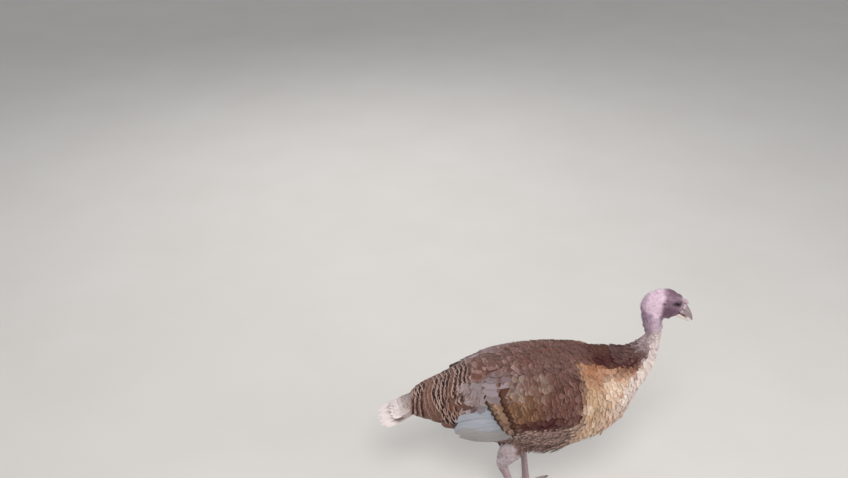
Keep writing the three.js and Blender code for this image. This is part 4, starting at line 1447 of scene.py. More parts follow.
def turns(way, normals, rng, spread):
    """Rotations that lay a vane along the way it points, each turned a little at random."""
    angles = []
    for d, n, spin in zip(way, normals, rng.normal(0, spread, len(way))):
        d, n = Vector(d), Vector(n)
        d = Matrix.Rotation(spin, 3, n) @ d
        across = n.cross(d)
        angles.append(Matrix((d, across, n)).transposed().to_euler())
    return np.array([tuple(a) for a in angles])


def scattered(form, count, seed):
    """Random points on a form, with its outward direction at each, in bird millimetres."""
    mesh = form.data
    mesh.calc_loop_triangles()
    corners = np.empty(len(mesh.loop_triangles) * 3, np.int32)
    mesh.loop_triangles.foreach_get("vertices", corners)
    corners = corners.reshape(-1, 3)
    points = points_of(mesh)
    normals = normals_of(mesh)
    a, b, c = (points[corners[:, k]] for k in range(3))
    area = np.linalg.norm(np.cross(b - a, c - a), axis=1)
    rng = np.random.default_rng(seed)
    chosen = rng.choice(len(area), count, p=area / area.sum())
    s, t = rng.random(count), rng.random(count)
    over = s + t > 1
    s[over], t[over] = 1 - s[over], 1 - t[over]
    weights = np.stack([1 - s - t, s, t], axis=1)
    place = np.einsum("nk,nkd->nd", weights, points[corners[chosen]])
    outward = unit(np.einsum("nk,nkd->nd", weights, normals[corners[chosen]]))
    return in_bird(place), outward


def thinned(p, radius):
    """Indices of points that stay when each kept one clears its own radius round it."""
    tree = kdtree.KDTree(len(p))
    for i, point in enumerate(p):
        tree.insert(point, i)
    tree.balance()
    alive = np.ones(len(p), bool)
    kept = []
    for i in range(len(p)):
        if alive[i]:
            kept.append(i)
            for _, other, _ in tree.find_range(p[i], radius[i]):
                alive[other] = False
    return np.array(kept)


BORDER_BLUR = 3.5  # how far, in millimetres, feathers of two colours mix where the colours meet


def planted(p, way, normals, rng, tones, size, lifts, spread, kinds, arch, hug=1.0):
    """All that the coat tree reads at the roots of feathers; tones are hue, tip hue, bar and edging."""
    hue, tip_hue, bar, edging = tones
    count = len(p)
    return {
        "place": from_bird(p),
        "turn": turns(way, normals, rng, spread),
        "size": size * MM,
        "kind": rng.integers(0, kinds, count),
        "lift": np.stack(lifts, axis=1) * MM,
        "lay": np.stack([np.full(count, arch * MM), np.full(count, hug), np.zeros(count)], axis=1),
        "root_uv": unwrap(p),
        "hue": np.clip(hue, 0, 1),
        "tip_hue": tip_hue,
        "mark": np.stack([bar, edging * rng.uniform(0.5, 1, count), rng.uniform(0, 1, count)], axis=1),
        "grain": rng.random(count),
    }


def grow(p, normals, parts, length, width, rng, lift, arch=0.5, kinds=6):
    """Feathers with their roots at bird points, lying as the body's feathers do."""
    way = lie(p, parts, normals)
    count = len(p)
    seen_at = p + way * (0.7 * length)[:, None] + rng.normal(0, BORDER_BLUR, (count, 3))
    hue, *marks = markings(seen_at, parts)
    size = np.stack([length, width, length], axis=1) * rng.normal(1, 0.07, (count, 1))
    root_lift, tip_lift = lift
    jitter = rng.normal(0, 1, (count, 3))
    lifts = [root_lift + 0.3 * jitter[:, 0], tip_lift + 0.7 * jitter[:, 1], 0.35 * jitter[:, 2]]
    hue = hue * (1 + 0.09 * rng.normal(size=(count, 1)))
    return planted(p, way, normals, rng, (hue, *marks), size, lifts, 0.12, kinds, arch)


def surface_of(form):
    return tree_over([form.data])[0]


def cast_out(surface, x, degrees, side):
    """Where a line from the body's middle at x, at an angle up from the side, meets a form."""
    angle = math.radians(degrees)
    start = from_bird([x, 0, np.interp(x, WIDEST_AT, WIDEST_LEVEL)])
    return surface.ray_cast(Vector(start), Vector((0, side * math.cos(angle), math.sin(angle))))[:2]


def set_in_rows(surface, feathers, side):
    """Ends and outward directions of feathers given by x and degrees of root and tip; misses are left out."""
    roots, tips, normals, kept = [], [], [], []
    for index, (root_x, root_angle, tip_x, tip_angle) in enumerate(feathers):
        root, out_root = cast_out(surface, root_x, root_angle, side)
        tip, out_tip = cast_out(surface, tip_x, tip_angle, side)
        if root is not None and tip is not None:
            roots.append(in_bird(root))
            tips.append(in_bird(tip))
            normals.append(out_root + out_tip)
            kept.append(index)
    return np.array(roots), np.array(tips), unit(np.array(normals)), np.array(kept, int)


def grow_between(root, tip, normals, part, width, rng, lift, tilt=0.0, arch=0.5, kinds=6, hug=1.0):
    """Feathers from known roots to known tips."""
    count = len(root)
    way = unit(tip - root)
    length = np.linalg.norm(tip - root, axis=1)
    hue, *marks = markings(root + (tip - root) * 0.8, np.full(count, part))
    width, root_lift, tip_lift = (np.broadcast_to(value, count) for value in (width, *lift))
    jitter = rng.normal(0, 1, (count, 3))
    lifts = [root_lift + 0.2 * jitter[:, 0], tip_lift + 0.35 * jitter[:, 1], tilt + 0.25 * jitter[:, 2]]
    hue = hue * (1 + 0.1 * rng.normal(size=(count, 1)))
    size = np.stack([length, width, width], axis=1)
    normals = square_to(normals, way)
    return planted(root, way, normals, rng, (hue, *marks), size, lifts, 0.03, kinds, arch, hug)


def gathered(groups):
    return {key: np.concatenate([group[key] for group in groups]) for key in groups[0]}


def some(roots, chosen):
    return {key: values[chosen] for key, values in roots.items()}


# -------- camera, floor and light

CAMERA_PLACE = Vector((-285, -1876, 1800)) * MM + BIRD_ORIGIN
CAMERA_PITCH = math.radians(28.5)
CAMERA_LENS = 40.754717  # on a sensor 36 mm wide
FLOOR_DARK = paint(214, 210, 204)
FLOOR_PALE = paint(222, 219, 214)
FLOOR_HALF = 20  # metres from the middle to each edge
SURROUND_COLOUR = (0.93, 0.95, 1.0, 1)
SURROUND_STRENGTH = 0.42
LIGHT_AIM = Vector((0.0, 0.0, 0.35))
LIGHTS = [  # name, place, size across in metres, power and colour
    ("key", (-0.2, -2.3, 3.0), 1.3, 70, (1.0, 0.97, 0.93)),
    ("fill", (2.4, -1.4, 1.7), 2.2, 24, (0.97, 0.98, 1.0)),
    ("rim", (-0.6, 2.4, 2.4), 1.8, 34, (1.0, 1.0, 1.0)),
]


def place_camera():
    """The camera at its named place and pitch, with a 36 mm sensor."""
    data = bpy.data.cameras.new("camera")
    data.sensor_width = 36
    data.lens = CAMERA_LENS
    data.clip_start = 0.05
    data.clip_end = 60
    camera = bpy.data.objects.new("camera", data)
    camera.location = CAMERA_PLACE
    camera.rotation_euler = (math.pi / 2 - CAMERA_PITCH, 0, 0)
    bpy.context.scene.collection.objects.link(camera)
    bpy.context.scene.camera = camera


def add_light(name, place, size, power, colour):
    """One round soft light that faces the bird."""
    data = bpy.data.lights.new(name, "AREA")
    data.shape = "DISK"
    data.size = size
    data.energy = power
    data.color = colour
    light = bpy.data.objects.new(name, data)
    light.location = place
    light.rotation_euler = (LIGHT_AIM - Vector(place)).to_track_quat("-Z", "Y").to_euler()
    bpy.context.scene.collection.objects.link(light)


def light_scene():
    """A pale, even surround and the three studio lights."""
    world = bpy.data.worlds.new("studio")
    world.use_nodes = True
    backdrop = world.node_tree.nodes["Background"]
    backdrop.inputs["Color"].default_value = SURROUND_COLOUR
    backdrop.inputs["Strength"].default_value = SURROUND_STRENGTH
    bpy.context.scene.world = world
    for light in LIGHTS:
        add_light(*light)
    bpy.context.scene.view_settings.view_transform = "Standard"


def lay_floor():
    """A wide pale floor with a faint cloudy tone."""
    half = FLOOR_HALF
    corners = [(-half, -half, 0), (half, -half, 0), (half, half, 0), (-half, half, 0)]
    mesh = bpy.data.meshes.new("floor")
    mesh.from_pydata(corners, [], [(0, 1, 2, 3)])
    finish = Finish("floor", Specular_IOR_Level=0.2)
    colour = finish.mix(finish.noise(3, 2), shaded(FLOOR_DARK), shaded(FLOOR_PALE))
    mesh.materials.append(finish.done(colour, 0.9))
    floor = new_object("floor", mesh)


# -------- eyes, bill, tongue and claws
EYE_RADIUS = 7.42
CLEAR_SHARE = 0.55  # how far out from the gaze the clear front stands up, as a share of the radius
CLEAR_HEIGHT = 0.5
NOSTRIL_PLACE = (19.5, -5.2)  # x and z in the head's frame
BILL_GREY = paint(142, 123, 127)
BILL_ROOT = paint(206, 186, 192)
BILL_TIP = paint(120, 100, 98)
BILL_RIDGE = paint(126, 106, 102)
BILL_PALE = paint(226, 212, 200)
BILL_DARK = paint(150, 128, 118)
# Painted shade inside the nostrils.
NOSTRIL_SHADE = paint(52, 36, 36)
CLAW_GREY = paint(132, 118, 110)
CLAW_UNDER = paint(92, 82, 78)
CLAW_PALE = paint(160, 146, 136)
CLAW_DARK = paint(70, 60, 56)


def eyeball(side):
    """A ball with a clear front that stands out a little, and its angle from the gaze kept on it."""
    gaze = HEAD_TILT @ Vector(eye_axes(SIDES[side])[1])
    turn = gaze.to_track_quat("Z", "Y").to_matrix()
    work = bmesh.new()
    bmesh.ops.create_uvsphere(work, u_segments=40, v_segments=28, radius=EYE_RADIUS * MM)
    off_axis = []
    for vert in work.verts:
        share = math.hypot(vert.co.x, vert.co.y) / (EYE_RADIUS * MM)
        ahead = vert.co.z > 0
        off_axis.append(share if ahead else 2 - share)
        if ahead and share < CLEAR_SHARE:
            vert.co.z += CLEAR_HEIGHT * MM * (1 - (share / CLEAR_SHARE) ** 2) ** 2
        vert.co = turn @ vert.co + middle_of("eye_" + side)
    mesh = bpy.data.meshes.new("eyeball_" + side)
    work.to_mesh(mesh)
    work.free()
    smooth_faces(mesh)
    store(mesh, "off_axis", "FLOAT", off_axis)
    mesh.materials.append(EYE_FINISH)
    piece = new_object("eyeball_" + side, mesh)
    ride_root(piece)
    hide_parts("eye_" + side)


def nostril(p, half_long, half_tall):
    """1 in the middle of either nostril's slanting slit, 0 outside it."""
    ahead = p[:, 0] - NOSTRIL_PLACE[0]
    slit = mound(ahead / half_long, (p[:, 2] - NOSTRIL_PLACE[1] + 0.2 * ahead) / half_tall)
    return slit * ease(np.abs(p[:, 1]), 4, 6.5)


def bill_colours(p):
    """Grey horn, paler at the root and below, duskier at the tip and ridge, with painted shade in the
    nostrils.
    """
    x, y, z = p.T
    return washed(BILL_GREY, len(p), [
        (BILL_ROOT, 0.85 * ease(x, 25, 14)),
        (BILL_TIP, 0.6 * ease(x, 34, 48)),
        (BILL_RIDGE, 0.4 * ease(np.abs(y), 2.4, 0.8) * ease(x, 16, 24)),
        (KEEL_WHITE, 0.8 * ease(z, -16, -22) * ease(x, 50, 44)),
        # Painted shade in the nostril slits.
        (NOSTRIL_SHADE, 0.9 * np.clip(1.4 * nostril(p, 3.4, 1.3), 0, 1)),
    ])


def give_horn(piece, p, hue, finish):
    """Keeps the colour and the place of the grain on a piece of horn, and gives it its finish."""
    store(piece.data, "hue", "FLOAT_COLOR", hue)
    store(piece.data, "grain_place", "FLOAT_VECTOR", p * MM)
    piece.data.materials.append(finish)
    ride_root(piece)


def bill_half(name, node):
    """One half of the bill with a fine grain; the upper one has nostrils and a wrinkled root."""
    piece = remeshed(solids_copy([node], name), 0.5, 7)
    mesh = piece.data
    points = points_of(mesh)
    p = in_head(points)
    x, y, z = p.T
    out = np.zeros(len(p))
    if node == "bill_upper":
        out -= 1.3 * nostril(p, 3.0, 1.1)
        out += 0.45 * ease(x, 26, 20)
        wrinkle = np.sin(x * 1.9 + 0.5 * z + 1.3 * ripple(p, 6, 82))
        out += 0.14 * wrinkle * ease(x, 27, 19) * ease(np.abs(y), 1, 4)
    out += 0.06 * ripple(p, 3, 81)
    put_points(mesh, points + normals_of(mesh) * out[:, None] * MM)
    give_horn(piece, p, bill_colours(p), BILL_FINISH)
    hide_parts(node)


def make_tongue():
    """The tongue, made finer from its solid."""
    piece = remeshed(solids_copy(["tongue"], "tongue_piece"), 0.4, 4)
    piece.data.materials.append(tongue_finish())
    ride_root(piece)
    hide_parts("tongue")


def make_claws():
    """All eight claws as one piece, darker underneath."""
    nodes = [f"claw_{toe}_{side}" for side in SIDES for toe, _, _ in TOES]
    piece = remeshed(solids_copy(nodes, "claws"), 0.45, 4)
    p = in_bird(points_of(piece.data))
    hue = washed(CLAW_GREY, len(p), [(CLAW_UNDER, ease(p[:, 2], 5, 1))])
    give_horn(piece, p, hue, CLAW_FINISH)
    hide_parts(*nodes)


# -------- the coat, part by part

# How many variants, columns and rows, the shape as vane_template takes it, and the seed.
SMALL_VANES = vane_set("small_vane", 6, 6, 5, (0.3, 0.22, 0.45, 0.12, 0.12, 0.16), 101)
BODY_VANES = vane_set("body_vane", 7, 12, 6, (0.3, 0.24, 0.5, 0.05, 0.12, 0.05), 102)
COVERT_VANES = vane_set("covert_vane", 7, 10, 7, (0.35, 0.26, 0.5, 0.03, 0.1, 0.025), 103)
STIFF_VANES = vane_set("stiff_vane", 5, 6, 11, (0.45, 0.45, 0.72, 0.012, 0.06, 0.012), 104)
BROAD_VANES = vane_set("broad_vane", 5, 8, 10, (0.4, 0.4, 0.6, 0.02, 0.07, 0.02), 105)
RUMP_VANES = vane_set("rump_vane", 7, 8, 7, (0.4, 0.84, 0.8, 0.02, 0.07, 0.03), 106)
DOWN_VANES = vane_set("down_vane", 7, 12, 6, (0.35, 0.26, 0.55, 0.05, 0.1, 0.05), 107)
BRISTLES = vane_set("bristle", 4, 2, 3, (0.7, 0.3, 0.4, 0.0, 0.3, 0.0), 109)
LONG_VANES = vane_set("long_vane", 6, 6, 9, (0.4, 0.16, 0.4, 0.05, 0.1, 0.08), 108)

BODY_FINISH = vane_finish("soft_feather", 210, 0.68)
COVERT_FINISH = vane_finish("covert_feather", 300, 0.56)
FLIGHT_FINISH = vane_finish("flight_feather", 420, 0.42, quill_shows=0.4)
RUMP_FINISH = vane_finish("rump_feather", 260, 0.6, bar_at=(0.795, 0.935), edge_at=(0.945, 0.96), cup=0.03)
TAIL_COVERT_FINISH = vane_finish("tail_covert_feather", 240, 0.64, bar_at=(0.6, 0.8), edge_at=(0.8, 0.95))
FLANK_FINISH = vane_finish("flank_feather", 240, 0.62, edge_at=(0.8, 0.95), margin=(0.55, 0.95))
TAIL_FINISH = vane_finish("tail_feather", 420, 0.42, tail_marks=True, quill_shows=0.3)
EYE_FINISH = eye_finish()
BILL_FINISH = horn_finish("bill_horn", BILL_PALE, BILL_DARK, 260)
CLAW_FINISH = horn_finish("claw_horn", CLAW_PALE, CLAW_DARK, 500)

place_camera()
light_scene()
lay_floor()


BODY_SEEDS = 130000  # points thrown on the body, before they are thinned
BODY_LENGTHS = ([-150, -60, 60, 150, 215], [34, 30, 26, 24, 20])  # x, and the length of feathers there
NECK_LENGTHS = ([440, 500, 525, 552], [20, 13, 9, 6])  # height, and length
THIGH_LENGTHS = ([184, 200, 230, 280], [8, 13, 19, 24])
LOWER_NECK = 482  # below this height the neck's feathers are as broad as the breast's


def soft_coat():
    """Neck, trunk and thighs: feathers scattered evenly, smaller toward the head and the legs."""
    rng = np.random.default_rng(202)
    p, normals = scattered(outer_form, BODY_SEEDS, 201)
    x, _, z = p.T
    parts = nearest_parts(from_bird(p))
    clear = distance_to(FLIGHT_NODES, from_bird(p)) > 8
    bare = rng.random(len(p)) < ease(z, 520, 552)
    wanted = np.isin(parts, (NECK, TRUNK, THIGH)) & clear & (z > 184) & ~bare & (z < 552)
    angle = round_angle(p)
    wanted &= (parts != TRUNK) | (x > -150) | (angle < -38)
    wanted &= ~((parts == TRUNK) & (x < -306))
    p, normals, parts, angle = picked(wanted, p, normals, parts, angle)
    x, _, z = p.T
    length = np.interp(x, *BODY_LENGTHS)
    length = np.where(angle > 45, length + 2, length)
    length = np.where(parts == NECK, np.interp(z, *NECK_LENGTHS), length)
    length = np.where(parts == THIGH, np.interp(z, *THIGH_LENGTHS), length)
    lower_neck = (parts == NECK) & (z < LOWER_NECK)
    width = length * np.where((parts == TRUNK) | lower_neck, 0.62, 0.5)
    kept = thinned(p, length * np.where(parts == THIGH, 0.2, 0.235))
    p, normals, parts, angle = picked(kept, p, normals, parts, angle)
    length, width, lower_neck = picked(kept, length, width, lower_neck)
    x, y, z = p.T
    loose = np.where(parts == NECK, 0.8, 0.0) + 1.6 * ease(x, 60, 130) * ease(angle, 20, -10)
    tuft = ease(ripple(p, 11, 91), 0.1, 0.9) * ease(x, 100, 150) * ease(angle, 44, 14) * (z < 480)
    tip_lift = -0.2 + loose * rng.random(len(p)) ** 2 * 1.6 + 6.5 * tuft * rng.random(len(p))
    hang = ease(angle, -34, -50) * ease(angle, -86, -72) * ease(x, -70, -30) * ease(x, 76, 40)
    tip_lift += 7.0 * hang * (parts == TRUNK) * rng.random(len(p))
    roots = grow(p, normals, parts, length, width, rng, (0.6 - coat_depth(p, parts), tip_lift))
    trunk_front = ((parts == TRUNK) & (x > 60)) | lower_neck
    trunk_rear = (parts == TRUNK) & (x <= 60)
    groups = {
        "neck_feathers": (parts == NECK) & ~lower_neck,
        "thigh_feathers": (parts == THIGH),
        "breast_feathers_left": trunk_front & (y > 0),
        "breast_feathers_right": trunk_front & (y <= 0),
        "back_feathers": trunk_rear & (z > 350),
        "belly_feathers": trunk_rear & (z <= 350),
    }
    slots = {"neck_feathers": "neck_feather", "thigh_feathers": "thigh_feather"}
    for name, chosen in groups.items():
        vanes = SMALL_VANES if name in slots else BODY_VANES
        lay_coat(name, some(roots, chosen), vanes, outer_form, BODY_FINISH)


BRISTLE_WIDTH = 0.32
BRISTLE_DARK = paint(70, 52, 54)
BRISTLE_PALE = paint(196, 178, 178)


def head_bristles():
    """Hair-like feathers on the bare skin of head and neck, closest round the ear and on the nape."""
    rng = np.random.default_rng(401)
    store(skin.data, "outward", "FLOAT_VECTOR", normals_of(skin.data))
    p, normals = scattered(skin, 60000, 402)
    local = in_head(from_bird(p))
    x, y, z = local.T
    ear = np.hypot(x - EAR_PLACE[0], z - EAR_PLACE[1])
    eye = np.hypot(x - EYE_PLACE.x, z - EYE_PLACE.z)
    density = 0.25 + 0.5 * ease(x, -30, -50) + 0.5 * ease(z, 14, 22)
    density += 1.4 * ease(ear, 7, 4) * (np.abs(y) > 9)
    density *= ease(eye, 9, 13) * ease(x, 12, 4) * (p[:, 2] > 535)
    p, normals, local = picked(rng.random(len(p)) < 0.5 * density, p, normals, local)
    kept = thinned(p, np.full(len(p), 1.7) + 1.5 * rng.random(len(p)))
    p, normals, local = picked(kept, p, normals, local)
    count = len(p)
    length = rng.uniform(3.0, 7.5, count)
    back = np.array(HEAD_TILT @ Vector((-1, 0, 0))) * ease(local[:, 2], -30, -5)[:, None]
    down = np.array([-0.15, 0, -1.0]) * ease(local[:, 2], -5, -30)[:, None]
    way = square_to(back + down + rng.normal(0, 0.25, (count, 3)), normals)
    width = np.full(count, BRISTLE_WIDTH)
    grown = grow(p, normals, np.full(count, NECK), length, width, rng, (-0.4, 1.8), arch=0.1, kinds=4)
    grown["turn"] = turns(way, normals, rng, 0.2)
    grown["size"][:, 1:] = BRISTLE_WIDTH * MM
    grown["lift"] *= np.array([0.5, 1.0, 0.2])
    grown["hue"] = np.where((rng.random(count) < 0.6)[:, None], BRISTLE_DARK, BRISTLE_PALE)
    grown["tip_hue"] = grown["hue"]
    lay_coat("head_bristles", grown, BRISTLES, skin, BODY_FINISH)
    skin.data.attributes.remove(skin.data.attributes["outward"])


# Degrees round the trunk, and x of the coverts' rear and front border there.
REAR_BORDER = (
    [-21, -16, -8, 2, 20, 36, 50, 62, 74],
    [-76, -90, -105, -119, -139, -150, -152, -128, -104],
)
FRONT_BORDER = (
    [-21, -16, -13, -8, 2, 10, 29, 39, 52, 61, 74],
    [20, 54, 70, 96, 120, 131, 131, 122, 102, 78, 60],
)
BAND_ROWS = 2  # the rows of large coverts that show as a paler band round the rear of the wing
BAND_BROWN = paint(142, 112, 90)
BAND_PINK = paint(148, 116, 104)
BAND_DARK = paint(112, 80, 62)
BAND_TIP = paint(178, 146, 128)
RIM_TIP = paint(46, 32, 34)
# These two colours are painted shadow on the row that overhangs the paler band.
ARC_SHADE_BROWN = paint(82, 52, 36)
ARC_SHADE_TIP = paint(52, 26, 22)
COVERT_LENGTHS = ([0, 33, 61, 100, 260], [64, 54, 38, 29, 23])  # distance from the rear border, and length
COVERT_WIDTHS = ([0, 33, 61, 100, 260], [0.42, 0.46, 0.58, 0.72, 0.76])  # as shares of the length


def covert_rows(rng):
    """The coverts by x and degrees of root and tip, with the width and the row of each."""
    steps = [0.0, 17.0, 34.0, 49.0, 62.0]
    while steps[-1] < 262:
        steps.append(steps[-1] + max(9.5, 12.5 - 0.015 * steps[-1]))
    lengths = np.interp(steps, *COVERT_LENGTHS)
    shares = np.interp(steps, *COVERT_WIDTHS)
    feathers, width, row_of = [], [], []
    for row, (step, length, share) in enumerate(zip(steps, lengths, shares)):
        spacing = math.degrees(length * share * 0.52 / 122)
        loose = float(ease(step, 30, 70))
        for angle in np.arange(-20 + spacing * 0.5 * (row % 2), 76, spacing):
            rear, front = np.interp(angle, *REAR_BORDER), np.interp(angle, *FRONT_BORDER)
            narrow = (front - rear) / 270
            tip_x = rear + step * narrow + rng.normal(0, 0.8 + 1.6 * loose)
            if angle > 66 and step < 40:
                continue
            reach = length * (0.55 + 0.45 * min(narrow, 1))
            root_angle = angle + 0.10 * reach * (1 - 0.8 * float(ease(angle, 55, 72)))
            root_angle -= 0.22 * reach * float(ease(angle, 4, -12))
            sway = rng.normal(0, 0.6 + 1.2 * loose)
            feathers.append((tip_x + 0.98 * reach, root_angle + sway, tip_x, angle + sway))
            width.append(length * share * (0.8 + 0.2 * narrow) * rng.uniform(0.9, 1.12))
            row_of.append(row)
    return feathers, np.array(width), np.array(row_of)


def wing_coverts(surface, side, rng):
    """Rows of coverts from the shoulder back to the edge of the flight feathers, each over the next."""
    feathers, width, row = covert_rows(rng)
    root, tip, normals, kept = set_in_rows(surface, feathers, side)
    root, tip, normals, kept = picked(root[:, 0] < 140, root, tip, normals, kept)
    width, row = picked(kept, width, row)
    tip_lift = np.select([row < BAND_ROWS, row == BAND_ROWS], [1.1, 2.2], 0.5)
    grown = grow_between(root, tip, normals, WING, width, rng, (-4.5, tip_lift))
    angle = round_angle(tip)
    in_band = (row < BAND_ROWS) & (angle < 40)
    blotches = 0.7 * ease(ripple(tip, 12, 27), -0.1, 0.8)
    band = washed(BAND_BROWN, len(row), [(BAND_PINK, ease(angle, 8, -8)), (BAND_DARK, blotches)])
    grown["hue"][in_band] = (band * rng.uniform(0.85, 1.1, (len(row), 1)))[in_band]
    grown["tip_hue"][in_band] = BAND_TIP
    rim = (row == 0) & (angle < 36)
    grown["tip_hue"][rim] = RIM_TIP
    # Darkened tips on the row behind the band: a painted shadow line where it overhangs the band.
    shade_arc = (row == BAND_ROWS) & (angle < 34)
    grown["hue"] = toward(grown["hue"], ARC_SHADE_BROWN, 0.6 * shade_arc)
    grown["tip_hue"][shade_arc] = ARC_SHADE_TIP
    grown["mark"][rim | shade_arc, 1] = 0.9
    return grown


FLANK_BROWNS = np.array([paint(116, 90, 82), paint(96, 70, 64), paint(78, 53, 49)])
FLANK_START = ([-68, -48, -36, -24, -10], [-14, -28, -52, -80, -74])  # degrees, and x of the rearmost tip
FLANK_STOP = ([-68, -36, -10], [56, 68, 74])  # degrees, and x of the foremost tip
TERTIALS = [  # x and degrees of the root, x and degrees of the tip
    (-34, 66, -132, 61),
    (-38, 58, -144, 54),
    (-42, 50, -150, 47),
    (-46, 42, -149, 39),
    (-50, 35, -143, 31),
]
TERTIAL_PALENESS = np.array([0.1, 0.4, 0.8, 0.75, 0.45])
TERTIAL_LILAC = paint(164, 150, 158)
TERTIAL_TIP = paint(120, 94, 88)
TERTIAL_PALE = paint(204, 194, 198)
FLIGHT_COUNT = 10
FLIGHT_TIPS = ([0.22, 0.4, 0.55, 0.75, 1.0], [-186, -198, -210, -212, -199])  # share of the way down, and x
TAIL_COUNT = 14


def flank_streaks(surface, side, rng):
    """Long soft feathers along the lower edge of the wing and the flank, with pale margins."""
    feathers = []
    for row, angle in enumerate(np.arange(-68, -8, 3.2)):
        start = np.interp(angle, *FLANK_START) + 7 * (row % 2)
        for x in np.arange(start, np.interp(angle, *FLANK_STOP), 14.0):
            tip_x = x + 5 * rng.normal()
            sway = 1.2 * rng.normal()
            reach = rng.uniform(52, 68)
            feathers.append((tip_x + reach, angle - 1.5 + sway, tip_x, angle + 1.0 + sway))
    root, tip, normals, kept = set_in_rows(surface, feathers, side)
    width = rng.uniform(8, 13, len(kept))
    hang = ease(round_angle(tip), -38, -54) * ease(tip[:, 0], 60, 20)
    tip_lift = 0.9 + hang * rng.uniform(2.5, 9.0, len(kept))
    grown = grow_between(root, tip, normals, TRUNK, width, rng, (-4.5, tip_lift))
    front = ease(tip[:, 0], 30, 62)
    tones = FLANK_BROWNS[rng.choice(3, len(kept), p=[0.45, 0.35, 0.2])]
    tones = tones * rng.uniform(0.9, 1.1, (len(kept), 1))
    grown["hue"] = toward(tones, grown["hue"], front)
    grown["tip_hue"] = washed(STREAK_PINK, len(kept), [(CREAM, 0.8 * front)])
    grown["mark"][:, 1] = rng.uniform(0.3, 0.8, len(kept))
    return grown


def tertials(surface, side, rng):
    """The broad innermost feathers that close over the top of the folded wing."""
    root, tip, normals, kept = set_in_rows(surface, TERTIALS, side)
    grown = grow_between(root, tip, normals, WING, 30.0, rng, (-3.2, 2.6), tilt=-1.2 * side, kinds=5)
    grown["hue"] = toward(grown["hue"], TERTIAL_LILAC, TERTIAL_PALENESS[kept])
    grown["tip_hue"] = washed(TERTIAL_TIP, len(kept), [(TERTIAL_PALE, np.full(len(kept), 0.3))])
    grown["mark"][:, 1:] = 0.35, 1.2
    return grown


def flight_feathers(surface, side, rng):
    """The pale flight feathers that run back from under the coverts, the upper ones over the lower."""
    share = np.linspace(0.22, 1, FLIGHT_COUNT)
    tip_x = np.interp(share, *FLIGHT_TIPS)
    feathers = np.stack([-84 + 30 * share, 61 - 79 * share, tip_x, 33 - 78 * share], axis=1)
    root, tip, normals, kept = set_in_rows(surface, feathers, side)
    share = share[kept]
    lift = (4.0 + 3 * ease(share, 0.2, 0.6), 0.5 + 8 * ease(share, 0.42, 0.78) + 6.0 * ease(share, 0.2, 1))
    grown = grow_between(root, tip, normals, FLIGHT, 30.0, rng, lift, tilt=-1.1 * side, arch=0.9, kinds=4)
    grown["hue"] *= 1 / (1 + 0.06 * rng.random((len(kept), 1)))
    return grown


def tail_feathers(rng):
    """A narrow fan of stiff feathers, the middle ones on top."""
    side = np.linspace(-1, 1, TAIL_COUNT)
    each = np.ones(TAIL_COUNT)
    order = np.abs(side)
    turn = side * math.radians(11.5)
    drop = side**2 * 9
    root = np.stack([-262 * each, side * 15, 352 - 0.4 * drop - 1.2 * order], axis=1)
    way = unit(np.stack([-np.cos(turn), np.sin(turn), -math.tan(math.radians(22)) * each], axis=1))
    tip = root + way * (150 * (1 - 0.09 * side**2))[:, None]
    tip[:, 2] -= 0.6 * drop + 1.2 * order
    normals = unit(np.stack([-0.3 * each, 0.42 * side, each], axis=1))
    return grow_between(root, tip, normals, TAIL, 31.0, rng, (0, 0), kinds=4, hug=0.0)


PANEL_TOP = ([-262, -240, -218, -200, -177, -138, -110], [-52, -44, -27, -4, 9, 27, 40])  # x, degrees
RUMP_BUFF = paint(112, 74, 62)
RUMP_ROWS = [  # x of the feather tips at the side, and the strength of the bars
    (-317, 1.0), (-307, 1.0), (-297, 1.0), (-287, 0.15), (-278, 0.1), (-268, 1.0), (-258, 1.0), (-248, 1.0),
    (-238, 1.0), (-229, 0.2), (-219, 0.9), (-209, 1.0), (-199, 0.9), (-189, 0.7), (-177, 0.2), (-165, 0.1),
    (-153, 0.1), (-141, 0.0),
]


